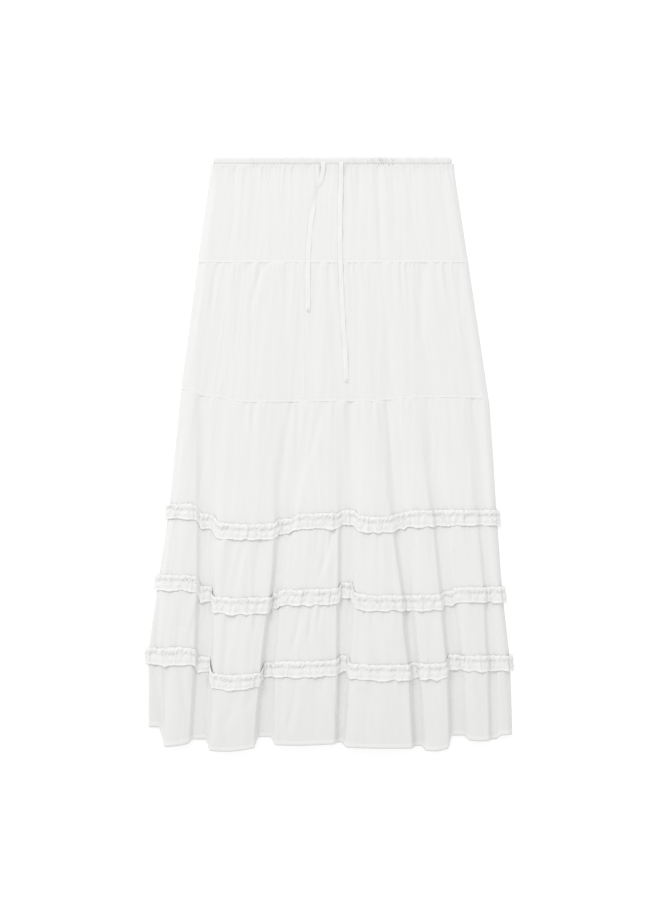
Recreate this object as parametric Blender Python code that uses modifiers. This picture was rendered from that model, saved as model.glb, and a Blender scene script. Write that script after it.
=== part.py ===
"""Tiered ruffle skirt, laid flat on its back, in metres with +Z up.

X runs across the skirt, +Y points to the waist and Z = 0 is the surface it lies on. The origin is the
bottom centre of its box. The back lies flat, and the front lies on it. The front is almost flat in the
upper tiers and falls into seven soft folds towards the hem. Every front piece is a stretch of one
folded surface, front_points(), and every back piece of another, back_points(), so that neighbours
meet at their seams. A surface is read at (across, level): level 0 is the waist and level 6 the hem.
"""

import math
from collections import namedtuple

import bmesh
import bpy
import numpy as np

MM = 0.001
COLLECTION = "tiered_ruffle_skirt"

# Cloth, in millimetres.
CLOTH = 1.2  # wall of every tier and ruffle
GAP = 0.35  # between the back and the front, and under the ties
SEAM_GAP = 0.9  # between two tiers at their seam
RUFFLE_GAP = 0.6  # between a ruffle and the tier that it is sewn to
PUFF = 2.6  # how far the upper tiers stand off the back between their seams

# Waist casing, a folded band with its cord inside.
CASING_WALL = 3.4
CASING_TOP = 426.5
CASING_INSET = 2.0  # narrower than the gathered cloth under it
CASING_CORNER = 6.0  # radius of its top corners
WAIST_SLOPE = 0.3  # share of tier 1 over which the front comes down from the casing

# Ruffles.
RUFFLE_OVERHANG = 4.0  # past the side seams
RUFFLE_ABOVE = 8.0  # frill above the gather stitch
RUFFLE_BELOW = 15.0  # frill below it
RUFFLE_ROOM = CLOTH + RUFFLE_GAP  # what a back ruffle takes between the back and the surface
RUFFLE_RAMP = 12.0  # the back comes down from a ruffle over this

# Drawstring ends, flat ties of the same cloth.
TIE_WIDTH = 7.0
TIE_WALL = 1.6
TIE_STEP = 14.0  # between the points of a tie's curve
ROUTE_SAMPLES = 20  # points that are read between two points of its route
SAMPLES_ACROSS, SAMPLES_DOWN = 211, 81  # of the cloth under it

# Folds.
WALL_WIDTH = 7.0  # of a low fold's side, seen from above
WALL_SHARE = 0.2  # and at most this share of the fold
TOP_ARCH = 0.14  # share of a fold's height that its flat top arches by
SHAPE_STARTS, SHAPE_TAKES = 1.6, 2.2  # levels over which soft waves become folds with flat tops
KNOTS = 6  # columns in a fold: a floor, a wall and half of the top on each side
SOFT_FLOOR = 8.0  # width of every valley's floor at seam 2
ROOM_STARTS, ROOM_TAKES = 2.5, 0.4  # levels over which the front rises for the ruffles behind the back
PUFF_RISES = 3  # the upper tiers puff out within the first third of tier 1
SIDE_BLEND = 8  # the higher, the nearer the side seams the back's lines leave the front's
LEFT_CORNER_LIFT, RIGHT_CORNER_LIFT = 26.0, 5.0  # how far the hem's corners swing up
CORNER_REACH = 24.0
CORNER_HELD = 0.6  # share of the reach that is lifted whole
BACK_COLUMNS = 14
CASING_COLUMNS, CASING_ROWS, RUFFLE_ROWS = 28, 2, 2

# One row for each line across the skirt: its height above the middle, its two side seams, how strongly
# the front is folded there, and how far the back's line lies above the front's, which dips over folds.
Line = namedtuple("Line", "y left right fold back_lift")
LINES = {
    "waist": Line(415.0, -169.5, 178.0, 0.00, 0.0),
    "seam_1": Line(275.5, -189.5, 199.5, 0.03, 0.0),
    "seam_2": Line(81.5, -213.5, 228.5, 0.16, 0.0),
    "ruffle_1": Line(-93.5, -230.5, 240.5, 0.50, 3.0),
    "ruffle_2": Line(-201.5, -245.5, 248.5, 0.72, 6.0),
    "ruffle_3": Line(-303.5, -260.0, 259.5, 0.88, 9.0),
    "hem": Line(-416.5, -260.5, 262.5, 1.00, 17.0),
}
LEVELS = range(len(LINES))
SEAM_2, RUFFLE_2, HEM = 2, 4, 6  # levels that the valleys are placed at
RUFFLE_LEVELS = (3, 4, 5)

# One row for each fold of the front, from left to right: its height at the hem, how far its lower edge
# climbs from left to right there, and how far its top dips below each line.
Fold = namedtuple("Fold", "rise climb seam_1 seam_2 ruffle_1 ruffle_2 ruffle_3 hem")
FOLDS = [
    Fold(9, 13, 0, -11, -14, -20, -17, 3),
    Fold(14, 11, 0, 7, 16, 13, 22, 10),
    Fold(11, 8, 0, 6, 0, 1, 2, 2),
    Fold(14, -3, 0, 6, 5, 10, 7, 6),
    Fold(12, 4, 0, 1, -5, 10, 5, 10),
    Fold(9, -2, 0, 0, -5, -2, -6, -4),
    Fold(5, 1, 0, 2, -5, -2, -6, -7),
]

# One row for each valley between two folds: where it runs, how far it lifts a line that crosses it, and
# the width of its floor.
Valley = namedtuple("Valley", "x_seam_2 x_ruffle_2 x_hem lift_ruffle_2 lift_hem floor_ruffle_2 floor_hem")
VALLEYS = [
    Valley(-182, -178, -187, 0, 12, 15, 18),
    Valley(-42, -78, -93, 0, 15, 8, 17),
    Valley(30, 24, 15, 15, 5, 15, 4),
    Valley(86, 113, 128, 0, 4, 6, 8),
    Valley(142, 170, 185, 0, 14, 11, 17),
    Valley(211, 229, 236, 0, 0, 6, 5),
]
LEFT_FLOOR = (0.5, 1.5, 18.0)  # the floor beside the left side seam at seam 2, at ruffle 2 and at the hem
RIGHT_FLOOR = (0.5, 1.5, 1.5)
FLOOR_LEVELS = (SEAM_2, RUFFLE_2, HEM)

FRONT_COLUMNS = KNOTS * len(FOLDS)

# Where the drawstring's two free ends run, in x and y, from the waist down.
TIE_ROUTES = {
    "drawstring_left": [
        (-9.0, 420.5),
        (-10.0, 400.0),
        (-18.0, 376.0),
        (-24.5, 346.0),
        (-28.5, 318.0),
        (-30.5, 286.0),
        (-31.2, 246.0),
        (-31.0, 206.5),
    ],
    "drawstring_right": [
        (16.5, 420.5),
        (16.8, 400.0),
        (15.6, 360.0),
        (15.2, 300.0),
        (17.0, 240.0),
        (20.2, 180.0),
        (23.0, 140.0),
        (24.0, 104.5),
    ],
}

CLOTH_COLOUR = (0.86, 0.86, 0.85, 1.0)
RUFFLE_COLOUR = (0.90, 0.90, 0.89, 1.0)
CASING_COLOUR = (0.83, 0.83, 0.82, 1.0)
COTTON_ROUGHNESS = 0.85


def clear_scene():
    for found in list(bpy.data.objects):
        bpy.data.objects.remove(found, do_unlink=True)


def cotton(name, colour):
    material = bpy.data.materials.new(name)
    material.use_nodes = True
    shader = material.node_tree.nodes["Principled BSDF"]
    shader.inputs["Base Color"].default_value = colour
    shader.inputs["Roughness"].default_value = COTTON_ROUGHNESS
    shader.inputs["Metallic"].default_value = 0.0
    return material


def smoothstep(t):
    t = np.clip(t, 0.0, 1.0)
    return t * t * (3.0 - 2.0 * t)


def on_line(field, level):
    """A column of LINES, read between its rows."""
    return np.interp(level, LEVELS, [getattr(line, field) for line in LINES.values()])


def level_at(line_level, drop):
    """The level that lies a drop in millimetres below a line, or above it where the drop is negative."""
    return float(np.interp(-(on_line("y", line_level) - drop), -on_line("y", np.array(LEVELS)), LEVELS))


def valley_x(valley, level):
    """A parabola through the valley's three places. Above seam 2 it keeps its share of the width."""
    t = np.clip((level - SEAM_2) / (HEM - SEAM_2), 0.0, 1.0)
    below = (
        valley.x_seam_2 * (1 - t) * (1 - 2 * t)
        + valley.x_ruffle_2 * 4 * t * (1 - t)
        + valley.x_hem * t * (2 * t - 1)
    )
    seam_left, seam_right = on_line("left", SEAM_2), on_line("right", SEAM_2)
    share = (valley.x_seam_2 - seam_left) / (seam_right - seam_left)
    left, right = on_line("left", level), on_line("right", level)
    return np.where(level < SEAM_2, left + share * (right - left), below)


def crest_dip(fold, level):
    """How far a line dips on a fold's crest."""
    return np.interp(level, LEVELS, (0, *fold[2:]))


def corner_lift(x, level):
    """How far the hem tier swings up at its two corners."""
    from_left, from_right = x - on_line("left", level), on_line("right", level) - x
    left, right = (
        1 - smoothstep((beside / CORNER_REACH - CORNER_HELD) / (1 - CORNER_HELD))
        for beside in (from_left, from_right)
    )
    return (LEFT_CORNER_LIFT * left + RIGHT_CORNER_LIFT * right) * smoothstep(level - 5)


def fold_columns(fold, level):
    """Where a fold's seven columns stand in x, as rows: valley, wall foot, wall top, middle, and back."""
    point = np.arange(len(fold))
    edges = [on_line("left", level), *(valley_x(row, level) for row in VALLEYS), on_line("right", level)]
    start, end = np.stack(edges)[fold, point], np.stack(edges)[fold + 1, point]
    halves = [(SOFT_FLOOR / 2, row.floor_ruffle_2 / 2, row.floor_hem / 2) for row in VALLEYS]
    floors = np.stack(
        [np.interp(level, FLOOR_LEVELS, widths) for widths in (LEFT_FLOOR, *halves, RIGHT_FLOOR)]
    )
    wall = np.minimum(WALL_WIDTH, WALL_SHARE * (end - start))
    left_foot, right_foot = start + floors[fold, point], end - floors[fold + 1, point]
    left_top, right_top = left_foot + wall, right_foot - wall
    middle = (left_top + right_top) / 2
    shaped = np.stack([start, left_foot, left_top, middle, right_top, right_foot, end])
    even = start + (end - start) * np.arange(KNOTS + 1)[:, None] / KNOTS
    return even + (shaped - even) * smoothstep((level - SHAPE_STARTS) / SHAPE_TAKES)


def fold_profile(t, level):
    """How high across a fold: 0 in its valleys and 1 in its middle, a soft wave above and flat below."""
    wave = (1 - np.cos(2 * np.pi * t)) / 2
    column = KNOTS * np.minimum(t, 1 - t)
    arch = np.sin(np.pi / 2 * np.clip(column - 2, 0, 1))
    shaped = (1 - TOP_ARCH) * smoothstep(column - 1) + TOP_ARCH * arch
    return wave + (shaped - wave) * smoothstep((level - SHAPE_STARTS) / SHAPE_TAKES)


def front_points(across, level):
    """Points on the front's outer face, in millimetres. across counts the folds, from 0 to 7."""
    across, level = np.broadcast_arrays(np.asarray(across, float), np.asarray(level, float))
    fold = np.minimum(across.astype(int), len(FOLDS) - 1)
    point = np.arange(len(across))
    t = across - fold
    profile = fold_profile(t, level)
    strength = on_line("fold", level)

    columns = fold_columns(fold, level)
    column = np.minimum((t * KNOTS).astype(int), KNOTS - 1)
    part = t * KNOTS - column
    x = columns[column, point] * (1 - part) + columns[column + 1, point] * part

    crests = [crest_dip(row, level) for row in FOLDS]
    between = [
        (crests[i] + crests[i + 1]) / 2
        - np.interp(level, (SEAM_2, RUFFLE_2, HEM), (0, row.lift_ruffle_2, row.lift_hem))
        for i, row in enumerate(VALLEYS)
    ]
    valleys = np.stack([crests[0], *between, crests[-1]])
    nearest = valleys[fold + (t > 0.5), point]
    dip = nearest + (np.stack(crests)[fold, point] - nearest) * profile
    climb = np.array([row.climb for row in FOLDS])[fold] * smoothstep((level - RUFFLE_2) / 2)
    y = on_line("y", level) - dip + climb * (t - 0.5) * profile + corner_lift(x, level)

    lying = 2 * CLOTH + GAP + (CASING_WALL - CLOTH) * (1 - smoothstep(level / WAIST_SLOPE))
    lying = lying + RUFFLE_ROOM * smoothstep((level - ROOM_STARTS) / ROOM_TAKES)
    from_side = np.minimum(across, len(FOLDS) - across)
    puff = PUFF * smoothstep(2 * from_side) * (1 - strength) * smoothstep(PUFF_RISES * level)
    rise = np.array([row.rise for row in FOLDS])[fold] * strength
    return np.column_stack([x, y, lying + puff + rise * profile])


def back_lines_y(x, across, level):
    """The back's lines meet the front's at the side seams and lie straighter between them."""
    near_left, near_right = (1 - across) ** SIDE_BLEND, across**SIDE_BLEND
    dip = near_left * crest_dip(FOLDS[0], level) + near_right * crest_dip(FOLDS[-1], level)
    dip -= (1 - near_left - near_right) * on_line("back_lift", level)
    return on_line("y", level) - dip + corner_lift(x, level)


def back_points(across, level):
    """Points on the back's lower face, in millimetres. across runs from 0 to 1."""
    across, level = np.broadcast_arrays(np.asarray(across, float), np.asarray(level, float))
    left, right = on_line("left", level), on_line("right", level)
    x = left + (right - left) * across
    y = back_lines_y(x, across, level)
    room = np.zeros(len(level))
    for ruffle in RUFFLE_LEVELS:
        stitch = back_lines_y(x, across, np.full(len(level), float(ruffle)))
        outside = np.maximum(y - (stitch + RUFFLE_ABOVE), (stitch - RUFFLE_BELOW) - y)
        room = np.maximum(room, RUFFLE_ROOM * (1 - smoothstep((outside - 1) / RUFFLE_RAMP)))
    return np.column_stack([x, y, room])


def cloth_rows(top, bottom, ramps):
    """The levels of a tier's rows: its seams, its middle, and the edges of the ruffles that it carries.

    ramps adds the rows where the back comes down to the surface again.
    """
    rows = [level_at(top, SEAM_GAP / 2), (top + bottom) / 2]
    rows.append(HEM if bottom == HEM else level_at(bottom, -SEAM_GAP / 2))
    if top in RUFFLE_LEVELS:
        rows.append(level_at(top, RUFFLE_BELOW))
        rows += [level_at(top, RUFFLE_BELOW + RUFFLE_RAMP)] * ramps
    if bottom in RUFFLE_LEVELS:
        rows.append(level_at(bottom, -RUFFLE_ABOVE))
        rows += [level_at(bottom, -RUFFLE_ABOVE - RUFFLE_RAMP)] * ramps
    if top == 0:
        rows.append(WAIST_SLOPE)
    return sorted(rows)


def cloth_object(name, points, columns, rows, below, above, material, parent):
    """A grid moved onto points, which takes (across 0 to 1, row number), and given its wall.

    The wall lies between two offsets from the grid, below and above, both in millimetres.
    """
    mesh = bmesh.new()
    bmesh.ops.create_grid(mesh, x_segments=columns, y_segments=rows, size=0.5)
    across = np.array([vert.co.x + 0.5 for vert in mesh.verts])
    row = np.array([(0.5 - vert.co.y) * rows for vert in mesh.verts])
    for vert, place in zip(mesh.verts, points(across, row)):
        vert.co = [float(value) * MM for value in place]
    mesh.normal_update()
    data = bpy.data.meshes.new(name)
    mesh.to_mesh(data)
    mesh.free()
    made = bpy.data.objects.new(name, data)
    solidify = made.modifiers.new("wall", "SOLIDIFY")
    solidify.thickness = (above - below) * MM
    solidify.offset = (above + below) / (above - below)
    solidify.use_even_offset = True
    data.materials.append(material)
    made.parent = parent
    bpy.data.collections[COLLECTION].objects.link(made)


def tier(number, top, bottom, material, parent):
    front_rows = cloth_rows(top, bottom, ramps=False)
    back_rows = cloth_rows(top, bottom, ramps=True)

    def front(across, row):
        return front_points(across * len(FOLDS), np.interp(row, range(len(front_rows)), front_rows))

    def back(across, row):
        return back_points(across, np.interp(row, range(len(back_rows)), back_rows))

    segments = len(front_rows) - 1
    cloth_object(f"tier_{number}_front", front, FRONT_COLUMNS, segments, -CLOTH, 0, material, parent)
    segments = len(back_rows) - 1
    cloth_object(f"tier_{number}_back", back, BACK_COLUMNS, segments, 0, CLOTH, material, parent)


def ruffle(number, line_level, material, parent):
    """A strip over a seam. The front's wall is held off the front's own points, and the back's is flat."""
    rows = [level_at(line_level, -RUFFLE_ABOVE), line_level, level_at(line_level, RUFFLE_BELOW)]

    def with_overhang(points, across):
        points[across < 1e-6, 0] -= RUFFLE_OVERHANG
        points[across > 1 - 1e-6, 0] += RUFFLE_OVERHANG
        return points

    def front(across, row):
        on_cloth = front_points(across * len(FOLDS), np.interp(row, range(len(rows)), rows))
        return with_overhang(on_cloth, across)

    def back(across, row):
        under_cloth = back_points(across, np.interp(row, range(len(rows)), rows))
        return with_overhang(under_cloth * (1, 1, 0), across)

    name, above = f"ruffle_{number}", RUFFLE_GAP + CLOTH
    cloth_object(f"{name}_front", front, FRONT_COLUMNS, RUFFLE_ROWS, RUFFLE_GAP, above, material, parent)
    cloth_object(f"{name}_back", back, BACK_COLUMNS, RUFFLE_ROWS, 0, CLOTH, material, parent)


def casing(side, lift, material, parent):
    """The band over the gathered waist. lift is the height of its lower face."""
    waist = LINES["waist"]
    left, right = waist.left + CASING_INSET, waist.right - CASING_INSET
    bottom = waist.y + SEAM_GAP / 2

    def points(across, row):
        # The columns crowd towards both ends, where the top corners are rounded off.
        x = left + (right - left) * (1 - np.cos(np.pi * across)) / 2
        into_corner = np.clip(1 - np.minimum(x - left, right - x) / CASING_CORNER, 0, 1)
        top = CASING_TOP - CASING_CORNER * (1 - np.sqrt(1 - into_corner**2))
        return np.column_stack([x, top + (bottom - top) * row / CASING_ROWS, np.full(len(x), lift)])

    name = f"waist_casing_{side}"
    cloth_object(name, points, CASING_COLUMNS, CASING_ROWS, 0, CASING_WALL, material, parent)


def smooth_route(route):
    """Catmull-Rom through the route's points, read again at even steps."""
    points = np.array(route, float)
    points = np.vstack([2 * points[0] - points[1], points, 2 * points[-1] - points[-2]])
    curve = []
    for a, b, c, d in zip(points, points[1:], points[2:], points[3:]):
        for t in np.linspace(0, 1, ROUTE_SAMPLES, endpoint=False):
            cubic = (2 * a - 5 * b + 4 * c - d) * t**2 + (3 * b - a - 3 * c + d) * t**3
            curve.append((2 * b + (c - a) * t + cubic) / 2)
    curve = np.array([*curve, points[-2]])
    length = np.concatenate([[0], np.cumsum(np.linalg.norm(np.diff(curve, axis=0), axis=1))])
    steps = np.linspace(0, length[-1], round(length[-1] / TIE_STEP) + 1)
    return np.column_stack([np.interp(steps, length, curve[:, i]) for i in range(curve.shape[1])])


def tie(name, route, material, parent):
    """A flat tie that lies on the casing and then on the front: an extruded, bevelled curve."""
    plan = smooth_route(route)
    across, level = np.meshgrid(
        np.linspace(0, len(FOLDS), SAMPLES_ACROSS), np.linspace(0, SEAM_2, SAMPLES_DOWN)
    )
    cloth = front_points(across.ravel(), level.ravel())
    casing_face = 2 * CASING_WALL + GAP
    heights = []
    for x, y in plan:
        near = cloth[np.hypot(cloth[:, 0] - x, cloth[:, 1] - y) < TIE_STEP]
        lies_on = casing_face if y > LINES["waist"].y - TIE_STEP else near[:, 2].max()
        heights.append(lies_on + GAP + TIE_WALL / 2)
    data = bpy.data.curves.new(name, "CURVE")
    data.dimensions = "3D"
    data.twist_mode = "Z_UP"
    data.bevel_depth = TIE_WALL / 2 * MM
    data.bevel_resolution = 2
    data.extrude = (TIE_WIDTH - TIE_WALL) / 2 * MM
    data.use_fill_caps = True
    spline = data.splines.new("POLY")
    spline.points.add(len(plan) - 1)
    for point, (x, y), z in zip(spline.points, plan, heights):
        point.co = (x * MM, y * MM, z * MM, 1.0)
        point.tilt = math.pi / 2  # so that the band lies flat
    data.materials.append(material)
    made = bpy.data.objects.new(name, data)
    made.parent = parent
    bpy.data.collections[COLLECTION].objects.link(made)


def main():
    clear_scene()
    bpy.context.scene.collection.children.link(bpy.data.collections.new(COLLECTION))
    skirt = bpy.data.objects.new("skirt", None)
    bpy.data.collections[COLLECTION].objects.link(skirt)

    tier_cotton = cotton("crinkled cotton", CLOTH_COLOUR)
    ruffle_cotton = cotton("gathered cotton", RUFFLE_COLOUR)
    casing_cotton = cotton("folded cotton", CASING_COLOUR)
    for number in range(1, len(LINES)):
        tier(number, number - 1, number, tier_cotton, skirt)
    for number, level in enumerate(RUFFLE_LEVELS, 1):
        ruffle(number, level, ruffle_cotton, skirt)
    casing("back", 0.0, casing_cotton, skirt)
    casing("front", CASING_WALL + GAP, casing_cotton, skirt)
    for name, route in TIE_ROUTES.items():
        tie(name, route, casing_cotton, skirt)


main()
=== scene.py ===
# %% [markdown]
# # A tiered ruffle skirt, laid flat
#
# The skirt is white crinkled cotton voile: six gathered tiers, three ruffle strips, a narrow drawstring
# casing and two free tie ends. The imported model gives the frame: where every piece lies and how large it
# is. This lesson builds the cloth that shows round it, one piece for each of its solids, and finishes it.

# %% Load the frame
import math
from collections import namedtuple

import bmesh
import bpy
import numpy as np
from mathutils import Matrix, Vector


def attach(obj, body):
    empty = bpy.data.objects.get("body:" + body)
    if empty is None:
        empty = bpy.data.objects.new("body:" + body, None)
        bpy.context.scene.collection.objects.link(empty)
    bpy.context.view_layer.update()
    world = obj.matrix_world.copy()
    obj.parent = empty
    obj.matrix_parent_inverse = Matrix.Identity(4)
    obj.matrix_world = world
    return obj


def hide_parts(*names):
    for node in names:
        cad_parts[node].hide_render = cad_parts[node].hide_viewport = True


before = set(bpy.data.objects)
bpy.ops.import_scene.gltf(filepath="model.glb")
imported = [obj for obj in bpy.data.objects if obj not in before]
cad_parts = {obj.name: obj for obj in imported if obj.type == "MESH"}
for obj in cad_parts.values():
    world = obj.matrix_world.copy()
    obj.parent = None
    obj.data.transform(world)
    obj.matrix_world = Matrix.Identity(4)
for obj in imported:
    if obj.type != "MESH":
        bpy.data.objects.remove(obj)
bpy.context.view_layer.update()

MM = 0.001

# %% [markdown]
# ## Camera
#
# A garment laid flat is looked at from straight above. A long lens from three metres up keeps the sides
# of the folds from leaning. The view is 1.3 m tall, so the skirt fills about two thirds of it.

# %% Make the camera
CAMERA_HEIGHT = 3.0
VIEW_HEIGHT = 1.296
AIM = Vector((0.0007, 0.0051, 0.0))

camera_data = bpy.data.cameras.new("overhead_camera")
camera_data.sensor_width = 36.0
camera_data.lens = camera_data.sensor_width * CAMERA_HEIGHT / VIEW_HEIGHT
camera_data.clip_end = 20.0
camera = bpy.data.objects.new("overhead_camera", camera_data)
camera.location = AIM + Vector((0, 0, CAMERA_HEIGHT))
bpy.context.scene.collection.objects.link(camera)
bpy.context.scene.camera = camera
print("lens", round(camera_data.lens, 1), "mm")

# %% [markdown]
# ## The stage and the light
#
# White cloth on a white floor shows only by its shading, so the light decides the picture. A large soft
# key stands beyond the waist and to the left: the right side of each fold and the lower edge of each
# frill then carry a soft shadow. An even sky fills the rest, and stays strong, because white cloth throws
# so much light about that its shadows are pale. The floor is grey paper that glows: it looks pure white,
# and the skirt's shadow on it nearly vanishes, as on a lit table.

# %% Set the floor, the sky and the key light
FLOOR_DROP = 0.0004  # below the skirt, so that the two never share a plane
FLOOR_WIDTH = 12.0
FLOOR_GLOW = 0.62
SKY = 0.895
KEY_PLACE = Vector((-2.0, 3.2, 3.2))
KEY_SIZE = 2.2
KEY_POWER = 74.0


def linear(hex_colour):
    """A colour such as "f4f4f2" in sRGB, as the linear RGBA that a shader takes."""
    parts = [int(hex_colour[i:i + 2], 16) / 255 for i in (0, 2, 4)]
    return [v / 12.92 if v <= 0.04045 else ((v + 0.055) / 1.055) ** 2.4 for v in parts] + [1.0]


scene = bpy.context.scene
scene.view_settings.view_transform = "Standard"
scene.world = bpy.data.worlds.new("even_sky")
scene.world.use_nodes = True
sky = scene.world.node_tree.nodes["Background"]
sky.inputs["Color"].default_value = linear("ffffff")
sky.inputs["Strength"].default_value = SKY

key_data = bpy.data.lights.new("softbox", "AREA")
key_data.shape = "DISK"
key_data.size = KEY_SIZE
key_data.energy = KEY_POWER
key = bpy.data.objects.new("softbox", key_data)
key.location = KEY_PLACE
key.rotation_euler = (AIM - KEY_PLACE).to_track_quat("-Z", "Y").to_euler()
scene.collection.objects.link(key)

floor_mesh = bmesh.new()
bmesh.ops.create_grid(floor_mesh, x_segments=1, y_segments=1, size=FLOOR_WIDTH / 2)
bmesh.ops.translate(floor_mesh, verts=floor_mesh.verts, vec=(0, 0, -FLOOR_DROP))
floor_data = bpy.data.meshes.new("studio_floor")
floor_mesh.to_mesh(floor_data)
floor_mesh.free()
studio_floor = bpy.data.objects.new("studio_floor", floor_data)
scene.collection.objects.link(studio_floor)

paper = bpy.data.materials.new("matt_background_paper")
paper.use_nodes = True
paper_shader = paper.node_tree.nodes["Principled BSDF"]
paper_shader.inputs["Base Color"].default_value = linear("b4b4b4")
paper_shader.inputs["Roughness"].default_value = 0.95
paper_shader.inputs["Specular IOR Level"].default_value = 0.1
paper_shader.inputs["Emission Color"].default_value = linear("ffffff")
paper_shader.inputs["Emission Strength"].default_value = FLOOR_GLOW
floor_data.materials.append(paper)
print("key light", KEY_POWER, "W, sky", SKY, "floor glow", FLOOR_GLOW)

# %% [markdown]
# ## The skirt's own surface
#
# The front is one folded surface, cut into tiers. These are the same named sizes and the same functions
# that the solids were built from, so every visible piece lies where its solid does. A place on the front
# is read as (across, level): across counts the seven folds, and level runs from 0 at the waist to 6 at
# the hem, with a whole number at each seam. All of it is in millimetres.

# %% Sizes of the skirt
CLOTH = 1.2  # the solids' wall
GAP = 0.35
PUFF = 2.6  # how far the upper tiers stand off the back
CASING_WALL = 3.4
CASING_TOP = 426.5
CASING_BOTTOM = 415.45
CASING_INSET = 2.0
CASING_CORNER = 6.0
WAIST_SLOPE = 0.3
RUFFLE_OVERHANG = 4.0
RUFFLE_ABOVE = 8.0
RUFFLE_BELOW = 15.0
RUFFLE_GAP = 0.6
RUFFLE_ROOM = CLOTH + RUFFLE_GAP
RUFFLE_RAMP = 12.0
WALL_WIDTH = 7.0  # of a low fold's side, seen from above
WALL_SHARE = 0.2  # and at most this share of the fold
TOP_ARCH = 0.14  # share of a fold's height that its flat top arches by
SHAPE_STARTS, SHAPE_TAKES = 1.6, 2.2  # levels over which soft waves become folds with flat tops
FOLD_COLUMNS = 6  # a floor, a wall and half of the top on each side
SOFT_FLOOR = 8.0  # width of every valley's floor at seam 2
ROOM_STARTS, ROOM_TAKES = 2.5, 0.4  # levels over which the front rises for the ruffles behind the back
PUFF_RISES = 3  # the upper tiers puff out within the first third of tier 1
SIDE_BLEND = 8  # the higher, the nearer the side seams the back's lines leave the front's
LEFT_CORNER_LIFT, RIGHT_CORNER_LIFT = 26.0, 5.0  # how far the hem's corners swing up
CORNER_REACH = 24.0
CORNER_HELD = 0.6  # share of the reach that is lifted whole

# One row for each line across the skirt: its height above the middle, its two side seams, how strongly
# the front is folded there, and how far the back's line lies above the front's, which dips over folds.
Line = namedtuple("Line", "y left right fold back_lift")
LINES = {
    "waist": Line(415.0, -169.5, 178.0, 0.00, 0.0),
    "seam_1": Line(275.5, -189.5, 199.5, 0.03, 0.0),
    "seam_2": Line(81.5, -213.5, 228.5, 0.16, 0.0),
    "ruffle_1": Line(-93.5, -230.5, 240.5, 0.50, 3.0),
    "ruffle_2": Line(-201.5, -245.5, 248.5, 0.72, 6.0),
    "ruffle_3": Line(-303.5, -260.0, 259.5, 0.88, 9.0),
    "hem": Line(-416.5, -260.5, 262.5, 1.00, 17.0),
}
LEVELS = range(len(LINES))
SEAM_2, RUFFLE_2, HEM = 2, 4, 6  # levels that the valleys are placed at
RUFFLE_LEVELS = (3, 4, 5)

# One row for each fold of the front, from left to right: its height at the hem, how far its lower edge
# climbs from left to right there, and how far its top dips below each line.
Fold = namedtuple("Fold", "rise climb seam_1 seam_2 ruffle_1 ruffle_2 ruffle_3 hem")
FOLDS = [
    Fold(9, 13, 0, -11, -14, -20, -17, 3),
    Fold(14, 11, 0, 7, 16, 13, 22, 10),
    Fold(11, 8, 0, 6, 0, 1, 2, 2),
    Fold(14, -3, 0, 6, 5, 10, 7, 6),
    Fold(12, 4, 0, 1, -5, 10, 5, 10),
    Fold(9, -2, 0, 0, -5, -2, -6, -4),
    Fold(5, 1, 0, 2, -5, -2, -6, -7),
]

# One row for each valley between two folds: where it runs, how far it lifts a line that crosses it, and
# the width of its floor.
Valley = namedtuple("Valley", "x_seam_2 x_ruffle_2 x_hem lift_ruffle_2 lift_hem floor_ruffle_2 floor_hem")
VALLEYS = [
    Valley(-182, -178, -187, 0, 12, 15, 18),
    Valley(-42, -78, -93, 0, 15, 8, 17),
    Valley(30, 24, 15, 15, 5, 15, 4),
    Valley(86, 113, 128, 0, 4, 6, 8),
    Valley(142, 170, 185, 0, 14, 11, 17),
    Valley(211, 229, 236, 0, 0, 6, 5),
]
LEFT_FLOOR = (0.5, 1.5, 18.0)  # the floor beside the left side seam at seam 2, at ruffle 2 and at the hem
RIGHT_FLOOR = (0.5, 1.5, 1.5)
FLOOR_LEVELS = (SEAM_2, RUFFLE_2, HEM)
print(len(FOLDS), "folds, up to", max(row.rise for row in FOLDS), "mm high")


# %% Read the surface at a place
def smoothstep(t):
    t = np.clip(t, 0.0, 1.0)
    return t * t * (3.0 - 2.0 * t)


def on_line(field, level):
    """A column of LINES, read between its rows."""
    return np.interp(level, LEVELS, [getattr(line, field) for line in LINES.values()])


def level_at(line_level, drop):
    """The level that lies a drop in millimetres below a line, or above it where the drop is negative."""
    return np.interp(drop - on_line("y", line_level), -on_line("y", np.array(LEVELS)), LEVELS)


def valley_x(valley, level):
    """A parabola through the valley's three places. Above seam 2 it keeps its share of the width."""
    t = np.clip((level - SEAM_2) / (HEM - SEAM_2), 0.0, 1.0)
    below = (
        valley.x_seam_2 * (1 - t) * (1 - 2 * t)
        + valley.x_ruffle_2 * 4 * t * (1 - t)
        + valley.x_hem * t * (2 * t - 1)
    )
    seam_left, seam_right = on_line("left", SEAM_2), on_line("right", SEAM_2)
    share = (valley.x_seam_2 - seam_left) / (seam_right - seam_left)
    left, right = on_line("left", level), on_line("right", level)
    return np.where(level < SEAM_2, left + share * (right - left), below)


def crest_dip(fold, level):
    """How far a line dips on a fold's crest."""
    return np.interp(level, LEVELS, (0, *fold[2:]))


def corner_lift(x, level):
    """How far the hem tier swings up at its two corners."""
    from_left, from_right = x - on_line("left", level), on_line("right", level) - x
    left, right = (
        1 - smoothstep((beside / CORNER_REACH - CORNER_HELD) / (1 - CORNER_HELD))
        for beside in (from_left, from_right)
    )
    return (LEFT_CORNER_LIFT * left + RIGHT_CORNER_LIFT * right) * smoothstep(level - RUFFLE_LEVELS[-1])


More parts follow.
